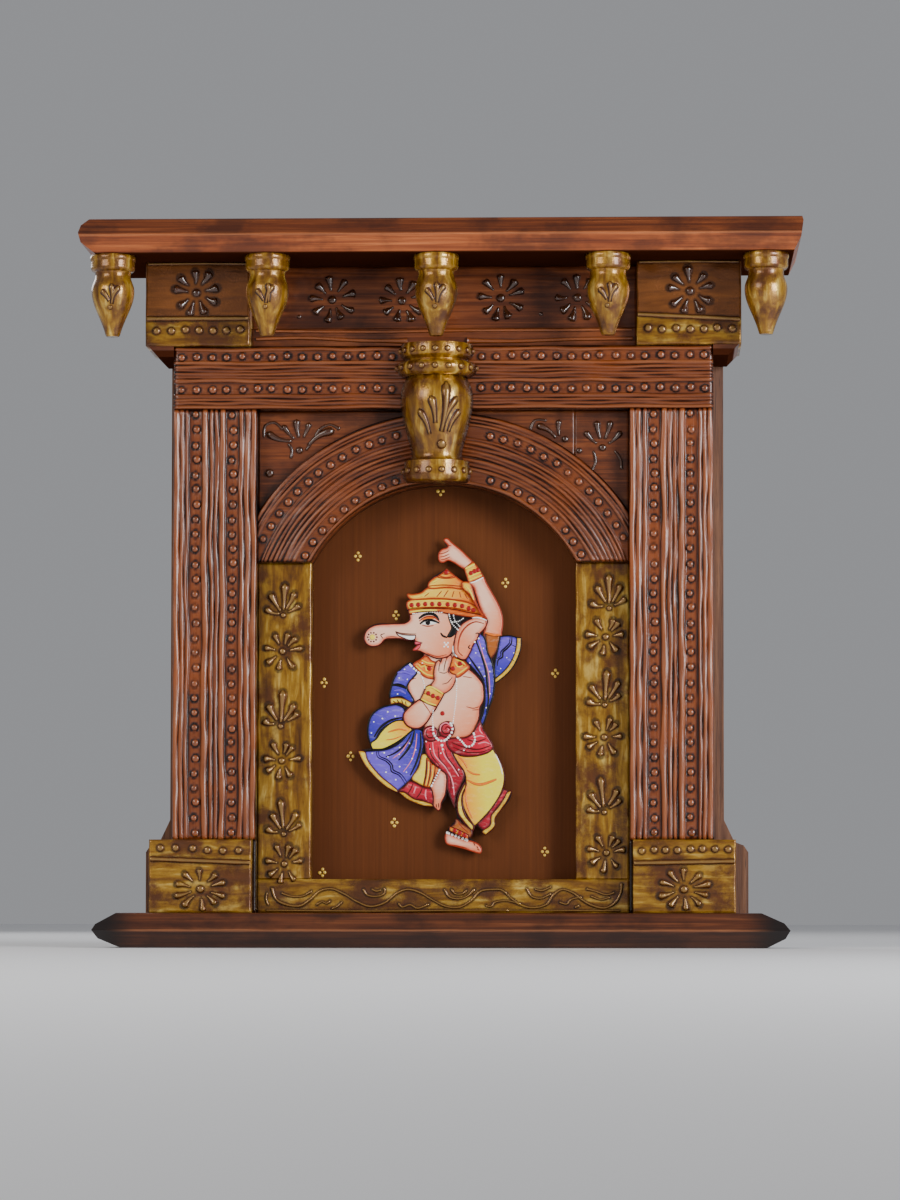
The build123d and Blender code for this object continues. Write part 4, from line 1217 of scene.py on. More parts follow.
class Canvas:
    """The height of the painted surface, kept up to date as coats are laid on it."""

    def __init__(self, node):
        (x_low, x_high), (low, high), (_, face) = measure(node)
        self.x, self.level = np.meshgrid(np.arange(x_low - 3, x_high + 3, CELL),
                                         np.arange(low - 3, high + 3, CELL))
        self.height = np.full(self.x.shape, face)

    def at(self, x, level):
        row = round((level - self.level[0, 0]) / CELL)
        column = round((x - self.x[0, 0]) / CELL)
        rows, columns = self.height.shape
        return self.height[min(max(row, 0), rows - 1), min(max(column, 0), columns - 1)]

    def place(self, x, level, up):
        return (x, level, self.at(x, level) + up)

    def coat(self, loop, ink):
        """Lays a coat inside a loop and returns the height of its rim."""
        low = (np.min(loop, axis=0) - (self.x[0, 0], self.level[0, 0])) / CELL
        high = (np.max(loop, axis=0) - (self.x[0, 0], self.level[0, 0])) / CELL
        window = (slice(max(int(low[1]) - 2, 0), int(high[1]) + 4),
                  slice(max(int(low[0]) - 2, 0), int(high[0]) + 4))
        height = self.height[window]
        covered = inside(loop, self.x[window], self.level[window])
        depth = inset(loop, self.x[window], self.level[window])
        rim = height[covered].max() + COAT
        height[covered] = rim + pillow_rise(depth[covered])
        line = depth < ink
        height[line] = np.maximum(height[line], rim + INK_RISE)
        return rim


def pillow_rise(depth):
    """How far a coat stands above its rim at a distance in from it."""
    return PILLOW * np.sqrt(1 - (1 - np.clip(depth / PILLOW_REACH, 0, 1)) ** 2)


def paint(name, edge, middle, wash=None, width=2.4, streak=0.25, coat=0.2):
    """Glossy hand-brushed paint: darker along a coat's rim, washed with a second colour."""
    finish = Finish(name, roughness=0.36, coat=coat, specular=0.3)
    rim = finish.attribute("relief")
    brush = finish.noise((7.0, 7.0, 2.2), detail=3.0, distortion=0.8)
    grain = finish.noise((1.1, 1.1, 1.1), detail=2.0)
    colour = finish.mix(finish.attribute("wash"), tint(*middle), tint(*(wash or middle)))
    pale = finish.mix(0.45, colour, tint(255, 250, 240))
    colour = finish.mix(finish.times(finish.fade(brush, 0.5, 0.75), streak), colour, pale)
    uneven = finish.plus(rim, finish.times(finish.minus(brush, 0.5), 2.0))
    colour = finish.mix(finish.fade(uneven, 0.0, width), tint(*edge), colour)
    return finish.finish(colour, None, [(brush, 0.05), (grain, 0.03)])


PAINTS = {
    "flesh": paint("paint_flesh", (228, 112, 76), (252, 198, 168), (248, 148, 102), width=4.0),
    "gold": paint("paint_gold", (206, 84, 10), (246, 200, 62), (238, 124, 22)),
    "yellow": paint("paint_yellow", (190, 126, 16), (246, 222, 68)),
    "orange": paint("paint_orange", (170, 56, 8), (236, 120, 28)),
    "brown": paint("paint_brown", (104, 42, 10), (172, 92, 30)),
    "violet": paint("paint_violet", (36, 26, 122), (108, 82, 210), (46, 38, 168), streak=0.3),
    "red": paint("paint_red", (98, 6, 24), (204, 28, 54), (158, 8, 34), streak=0.32),
    "dhoti": paint("paint_dhoti", (220, 192, 36), (244, 226, 50), (252, 156, 22), width=1.4),
    "pink": paint("paint_pink", (216, 66, 90), (244, 136, 150)),
    "white": paint("paint_white", (244, 240, 232), (255, 254, 250)),
    "black": paint("paint_black", (6, 4, 7), (10, 8, 11), streak=0.0, coat=0.0),
    "maroon": paint("paint_maroon", (64, 8, 5), (78, 12, 7), streak=0.0, coat=0.0),
    "rust": paint("paint_rust", (138, 38, 14), (160, 50, 20), streak=0.0, coat=0.0),
    "ruby": paint("paint_ruby", (104, 4, 8), (160, 12, 16), streak=0.0),
}
INK_WEIGHT = 1.45
STROKE_WEIGHT = 1.35

# Each coat: (name, paint, ink round it, ink half width, wash from, wash to, outline points)
COATS = (
    ("raised_arm", "flesh", "rust", 0.35, (34, 290), (50, 284), (
        (20.5, 313), (24.5, 309), (27, 303), (29.5, 295), (32, 288), (34, 284), (34.5, 275), (35, 264),
        (48, 264), (49, 270), (50, 277), (49.3, 285), (45.5, 295), (40.5, 304), (36, 312), (32, 319))),
    ("raised_hand", "flesh", "rust", 0.35, (6, 336), (-6, 333), (
        (15, 325.5), (8, 330), (3, 331.8), (-1, 330), (-4, 330.8), (-5, 334), (-4.5, 338), (-2, 341),
        (2.5, 342.5), (3.5, 344), (1.5, 346.5), (-0.3, 349), (1, 350.4), (3, 350), (5.5, 347.5), (9, 344.5),
        (14, 340.5), (20, 334.5), (23.5, 331), (24.5, 328), (19, 324))),
    ("raised_bracelet", "gold", "rust", 0.3, (20, 320), (34, 318), (
        (17, 324.5), (17, 324.5), (24.5, 330.5), (24.5, 330.5), (29, 325), (33.5, 317.5), (33.5, 317.5),
        (21, 312), (21, 312), (19.5, 317))),
    ("shawl_lining", "brown", "maroon", 0.3, None, None, (
        (35, 268.5), (35, 268.5), (48, 267), (48, 267), (46, 257), (43, 250.5), (39.5, 247), (37, 252),
        (35.5, 260))),
    ("fan", "violet", "black", 0.4, (50, 262), (47, 234), (
        (48, 266), (48, 266), (56, 266.8), (63, 265), (63, 265), (62.3, 255), (59, 245.5), (53, 237),
        (44, 229), (44, 229), (43, 236), (43.5, 244), (45.5, 253))),
    ("fan_border", "yellow", "black", 0.3, None, None, (
        (62.3, 265.4), (62.3, 265.4), (65.8, 264.8), (65.8, 264.8), (65.5, 256), (63, 248), (58.5, 239.5),
        (52, 232.2), (43.5, 226), (43.5, 226), (43.6, 230), (43.6, 230), (50, 235.2), (55.8, 242),
        (60, 250.5), (61.8, 258))),
    ("shoulder_shawl", "violet", "black", 0.5, (28, 262), (40, 205), (
        (29, 269), (33, 267), (35.5, 262), (37, 253), (40.5, 245), (42.6, 235), (43, 225), (41.5, 214),
        (38, 204), (33.5, 190.5), (33.5, 190.5), (31, 192), (33.5, 201), (34.8, 210), (34.8, 218),
        (34, 226), (31, 231), (27, 236), (22, 241.5), (18.6, 245), (20, 250), (23, 256), (26, 264))),
    ("torso", "flesh", "maroon", 0.35, (12, 222), (33, 196), (
        (-16, 253), (-19, 247), (-26, 242), (-30, 236), (-32, 228), (-31, 221), (-28, 214), (-24, 208),
        (-20, 201), (-17, 191), (-17, 184), (-9, 180), (0, 178), (10, 178.5), (18, 179.5), (24, 183),
        (28, 190), (30, 198), (30.5, 205), (33.5, 211), (34, 218), (33, 225), (28, 232), (22, 237.5),
        (16, 243), (12, 251), (2, 254), (-8, 255))),
    ("sleeve", "violet", "black", 0.5, (-36, 238), (-36, 216), (
        (-28.5, 243.5), (-34, 241), (-39, 236.5), (-43, 230), (-45, 224), (-46.8, 216), (-46.4, 213),
        (-46.4, 213), (-37, 214.5), (-30, 209.5), (-26, 210.5), (-28.5, 216), (-32, 222), (-30, 227),
        (-26.5, 231), (-23.5, 235.5))),
    ("sleeve_cuff", "yellow", "maroon", 0.3, None, None, (
        (-46.4, 213.2), (-46.4, 213.2), (-46, 208), (-46, 208), (-38, 209), (-30, 205.5), (-28, 208.7),
        (-31.5, 211.5), (-38, 213.8))),
    ("hip_shawl", "violet", "black", 0.5, (-40, 203), (-63, 182), (
        (-34, 204), (-40, 207.5), (-48.6, 206.8), (-57, 203.5), (-62.5, 198), (-65.3, 189), (-65, 180),
        (-63, 174), (-63, 174), (-59, 177.5), (-54.3, 185.8), (-46, 191.5), (-36, 194.5), (-34, 199))),
    ("hip_fold", "dhoti", "black", 0.4, (-48, 180), (-31, 189), (
        (-33.5, 193.5), (-41, 194), (-48.6, 189.8), (-54.3, 184), (-58.2, 178.3), (-63, 174.3),
        (-61.3, 169.4), (-61.3, 169.4), (-52.4, 169.8), (-42.9, 174.2), (-34.3, 180), (-27.5, 186.5),
        (-31, 189.5))),
    ("fall", "violet", "black", 0.5, (-48, 160), (-20, 172), (
        (-68, 167.4), (-61, 168.2), (-49.6, 169.4), (-39.1, 174.3), (-29.5, 183.9), (-24, 187),
        (-18.5, 185), (-17, 176.2), (-18.5, 167.6), (-21.9, 155.2), (-27.6, 144.7), (-33.3, 139),
        (-40, 133.3), (-40, 133.3), (-46, 138), (-54.3, 145.7), (-62.9, 155.2), (-66.9, 162.5))),
    ("fall_border", "yellow", "maroon", 0.3, None, None, (
        (-74, 168.3), (-74, 168.3), (-67.9, 167.4), (-66, 161.5), (-62, 155.2), (-53.4, 145.6),
        (-45, 139), (-40, 134.4), (-40, 132.5), (-40, 132.5), (-48.6, 136.6), (-58.2, 144.7),
        (-66.7, 154.3), (-71.3, 162))),
    ("legging", "yellow", "maroon", 0.3, None, None, (
        (-18.8, 165), (-14, 165), (-10.4, 157.1), (-3.3, 153.3), (-6.6, 146.6), (-11.2, 136.5), (-18, 138),
        (-23.8, 140.9), (-27.8, 143.8), (-21.9, 154.3))),
    ("legging_front", "orange", None, 0.0, None, None, (
        (-15, 162.5), (-10.4, 157.1), (-4, 153), (-7, 146), (-11, 137), (-17.5, 138.2), (-16.5, 147),
        (-15.8, 155))),
    ("pleats", "red", "maroon", 0.35, (-24, 138), (-24, 126), (
        (-30, 142), (-23.8, 140.4), (-18, 137.1), (-11.4, 135.7), (-9.3, 132), (-8.6, 124.5), (-9.6, 121.8),
        (-18, 125.3), (-25.7, 126.8), (-34.5, 132.8), (-39, 133.8), (-33.3, 138))),
    ("pleats_hem", "yellow", "maroon", 0.25, None, None, (
        (-39, 133), (-39, 133), (-34.3, 132.5), (-25.7, 126.9), (-18, 125), (-9.6, 122), (-9.6, 120.4),
        (-9.6, 120.4), (-18, 121.2), (-24.8, 123.6), (-32.4, 127.2))),
    ("lifted_foot", "flesh", "maroon", 0.35, (-2, 140), (-10, 128), (
        (-3.3, 151.5), (0.5, 149.5), (2.2, 145), (1.7, 135), (0.6, 129.5), (-2.3, 123.7), (-3.2, 118),
        (-5, 116.8), (-7, 118.5), (-9, 121), (-9, 127.6), (-10, 133.3), (-11.4, 137.1), (-6.6, 145.7))),
    ("drape", "red", "maroon", 0.35, (-2, 170), (14, 140), (
        (-16.5, 178), (-16, 170), (-15, 164.8), (-8.5, 157.1), (-1.8, 151), (2.2, 147.6), (2.6, 137),
        (5.8, 127.6), (9.1, 119), (9.1, 119), (10.3, 130), (14.4, 139), (17, 145), (17.2, 150.4),
        (12.5, 156.5), (7.7, 164.8), (6, 172), (4.5, 180), (-10.4, 180))),
    ("dhoti", "dhoti", "maroon", 0.4, (34, 152), (15, 150), (
        (7.5, 167), (14.4, 163.8), (23.9, 163.3), (32.5, 164.8), (41.5, 170.5), (41.5, 170.5),
        (44.5, 165), (48.4, 158), (51.2, 150), (51.2, 140), (47.5, 129.5), (38.4, 116.1), (26.3, 103.6),
        (26.3, 103.6), (21.5, 110.5), (16.8, 119.9), (15.8, 129.5), (18.2, 138), (18.7, 144),
        (17.2, 150.5), (12.5, 157.1))),
    ("inner_hem", "yellow", "maroon", 0.55, None, None, (
        (18.6, 141), (13.6, 132.3), (11.5, 124.7), (12, 115.1), (16.8, 107.5), (24.2, 99.2), (24.2, 99.2),
        (25.6, 103.2), (18.6, 112.3), (15.6, 121.8), (15.9, 130.4), (19, 138))),
    ("trailing_hem", "red", "maroon", 0.35, (44, 120), (34, 104), (
        (51, 135.5), (51, 135.5), (54.8, 133.2), (50.9, 126.6), (45.9, 119.9), (41.1, 113.5), (40, 106),
        (35.7, 99.2), (35.7, 99.2), (29.3, 104.6), (37.3, 114.2), (44, 123.7), (48, 130))),
    ("trailing_border", "yellow", "maroon", 0.3, None, None, (
        (54.5, 133), (58, 133.8), (58, 133.8), (53.5, 124.5), (47.8, 116.4), (43.6, 110), (43.4, 103.6),
        (35.5, 96), (35.5, 96), (32.6, 98.8), (39.6, 104.6), (40.6, 112.6), (45.9, 119.2),
        (51.1, 126.8))),
    ("ankle", "brown", "maroon", 0.3, None, None, (
        (10.6, 110), (14.4, 106.8), (24.4, 98.4), (22, 93.8), (14.4, 97), (5.5, 102.5), (9, 105.5))),
    ("standing_foot", "flesh", "rust", 0.35, (12, 92), (30, 83), (
        (2, 97.3), (8.7, 95), (18.2, 92), (24.5, 90.4), (29.7, 87.8), (32, 83.9), (31.3, 80.8),
        (25.8, 81.8), (18.2, 84.3), (8.7, 86.8), (2.4, 88.8), (1, 92.8))),
    ("anklet", "gold", "maroon", 0.3, (8, 100), (21, 95), (
        (5, 103.5), (5, 103.5), (14.4, 99.6), (21.4, 96), (21.4, 96), (20.6, 92.4), (20.6, 92.4),
        (14.4, 94.8), (4.6, 99.8), (4.6, 99.8))),
    ("sash", "red", "maroon", 0.35, (30, 178), (14, 166), (
        (3, 178), (8.7, 179.2), (18.2, 179.6), (23.9, 182.6), (27.7, 188.5), (30.8, 194.5), (30.8, 194.5),
        (33.5, 186.7), (37.8, 180), (42, 171.5), (39.2, 167.4), (29.7, 164), (18.2, 163.6), (10.6, 165.4),
        (5.4, 168.4), (2.5, 173.4))),
    ("rosette_left", "red", "maroon", 0.35, (-12, 187), (-12, 178), (
        (-12, 189.5), (-17.2, 186.5), (-17.6, 180), (-13.5, 176.4), (-7.8, 177), (-5.4, 182),
        (-7.2, 187.5))),
    ("rosette_right", "red", "maroon", 0.35, (2, 192), (2, 180), (
        (2.4, 193.2), (-2.6, 191), (-4.6, 186), (-2.4, 181.2), (2.6, 179.6), (7.4, 182), (8.8, 187),
        (6.8, 191.8))),
    ("forearm", "flesh", "maroon", 0.45, (-16, 204), (-32, 192), (
        (-19.5, 212.8), (-25.7, 209), (-31.4, 204), (-34.6, 199.8), (-34.8, 195), (-32.4, 190.4),
        (-27.6, 187.6), (-21, 187.6), (-15.2, 192.2), (-10.4, 199.8), (-6.2, 206.8), (-12, 212))),
    ("necklace_left", "orange", "rust", 0.35, (-18, 244), (-14, 231), (
        (-15.5, 249.5), (-10.4, 245.2), (-5, 243), (-5, 231), (-9, 229.8), (-15.2, 230.8), (-20, 234.2),
        (-23.8, 238.5), (-26.5, 242.2), (-20.5, 246.4))),
    ("necklace_right", "orange", "rust", 0.35, (10, 246), (16, 233), (
        (8, 249), (14.4, 246.8), (18.4, 243.8), (21.6, 239.7), (17.4, 234.7), (11.2, 231), (5, 233),
        (5, 244))),
    ("bent_bracelet", "gold", "maroon", 0.35, (-12, 220), (-8, 208), (
        (-14.6, 223.6), (-11.4, 225), (-11.4, 225), (0.6, 218), (0.6, 218), (-3, 211.2), (-6.4, 205.6),
        (-6.4, 205.6), (-13, 208), (-20.6, 211.6), (-20.6, 211.6), (-18.4, 216.6))),
    ("palm", "flesh", "maroon", 0.32, (-3, 236), (8, 222), (
        (-11.4, 223.8), (-8.7, 228.5), (-8.9, 234.5), (-8.2, 240), (-6, 245), (-4.2, 245.9), (-3.2, 244),
        (-1.4, 248.4), (0.8, 249.8), (2.2, 247.6), (4, 249.8), (6.2, 249.8), (6.6, 247), (5.2, 241.5),
        (4.4, 236.4), (7.4, 234), (9.8, 233.4), (10, 230.5), (8, 224.2), (4.2, 219.6), (-1, 217.2),
        (-7, 220.2))),
    ("head", "flesh", "maroon", 0.35, (-30, 264), (-2, 248), (
        (-29.6, 286.5), (-29.4, 281), (-33, 277.8), (-44.8, 277), (-60, 275.6), (-66.7, 271.2),
        (-68.7, 265), (-66.9, 260), (-62, 257.6), (-55.4, 259), (-50.5, 263.8), (-44.8, 264.4),
        (-38.4, 264.4), (-31, 263), (-25, 263), (-25.4, 260), (-23.6, 258.2), (-26.9, 254.2), (-21.9, 253.8),
        (-15.2, 250.8), (-5.7, 247.4), (3.9, 249.3), (7.6, 254), (11, 262), (13, 272), (13, 284),
        (-5, 289))),
    ("upper_lip", "pink", "maroon", 0.22, None, None, (
        (-25, 262), (-25.4, 259.4), (-22.4, 259.2), (-19.2, 260.8), (-22, 261.4))),
    ("lower_lip", "pink", "rust", 0.22, None, None, (
        (-20, 259.8), (-23.2, 257.9), (-26.9, 254.4), (-23.4, 254.6), (-21, 256.6))),
    ("tusk", "white", "maroon", 0.3, None, None, (
        (-41.4, 270), (-38.6, 268.4), (-31.4, 267.2), (-24.4, 267.2), (-24.4, 267.2), (-25.3, 263.8),
        (-29.5, 263), (-36.2, 265.4), (-39.6, 267.2))),
    ("hair", "black", None, 0.0, None, None, (
        (3.4, 286.5), (18.6, 284.6), (18.6, 284.6), (14.6, 277.8), (12.4, 272.6), (9, 267.4), (5, 265),
        (2.4, 265.8), (4.3, 270), (5.9, 273.2), (5, 277), (3.6, 281))),
    ("eye_white", "white", None, 0.0, None, None, (
        (-20.2, 277.2), (-15.2, 279.5), (-10.4, 279.5), (-5.8, 277.8), (-10.4, 276.2), (-15.2, 275.8))),
    ("ear", "flesh", "maroon", 0.4, (30, 278), (16, 262), (
        (37, 279.9), (30, 282.3), (23.9, 281.4), (16.3, 277.6), (11.3, 271.2), (8.9, 262.6), (8.4, 253.5),
        (11.3, 248), (17.8, 246.2), (22.6, 253), (24.9, 258.8), (27.8, 262.6), (30.4, 268.3), (34.8, 273))),
    ("crown_band", "gold", "rust", 0.3, (-10, 290), (30, 284), (
        (-31.6, 296.2), (-27.6, 298), (-10.4, 298.6), (3.9, 298.1), (18.2, 296.1), (26.8, 292.4),
        (32.8, 284.4), (32.8, 284.4), (23.9, 286.2), (8.7, 289.4), (-5.7, 290.3), (-20, 289.9),
        (-30.6, 288.9), (-32.2, 292.4))),
    ("crown_rim", "orange", "maroon", 0.3, None, None, (
        (-30.6, 289.2), (-20, 290), (-5.7, 290.3), (8.7, 289.3), (23.9, 286), (32.5, 284.2), (36.8, 281.4),
        (36.8, 281.4), (28, 281.8), (18.2, 283), (3.9, 285.4), (-5.7, 287.2), (-20, 287.2),
        (-29.6, 285.2))),
    ("crown_tier", "gold", "rust", 0.3, (-6, 302), (22, 297), (
        (-31.8, 302.6), (-27.6, 302.4), (-20, 303.9), (-13.4, 308.3), (3.9, 308.4), (15.4, 307.4),
        (22, 301), (26.9, 293), (18.2, 296.2), (3.9, 298.2), (-10.4, 298.7), (-27.6, 298),
        (-30.4, 299.4))),
    ("crown_dome", "gold", "rust", 0.3, (-6, 314), (14, 309), (
        (-5.7, 317.8), (-10.6, 315.2), (-13.7, 311.3), (-13.4, 307.8), (3.9, 308.2), (15.8, 307.2),
        (16.6, 312.3), (12.5, 315.4), (8.9, 318))),
    ("crown_tip", "gold", "rust", 0.3, (-2, 322), (6, 317), (
        (1.8, 324.2), (1.8, 324.2), (-1.4, 321), (-5.9, 317.5), (1, 316), (9.2, 317.4), (5.6, 320.8))),
    ("crown_veil", "gold", "rust", 0.3, (18, 309), (31, 289), (
        (15.6, 312.6), (21.8, 312.2), (24.2, 306.5), (27, 297), (30.8, 288.4), (37, 281.4), (37, 281.4),
        (32.6, 283.8), (25.9, 295.1), (21.2, 302.7), (15.8, 307.6))),
)

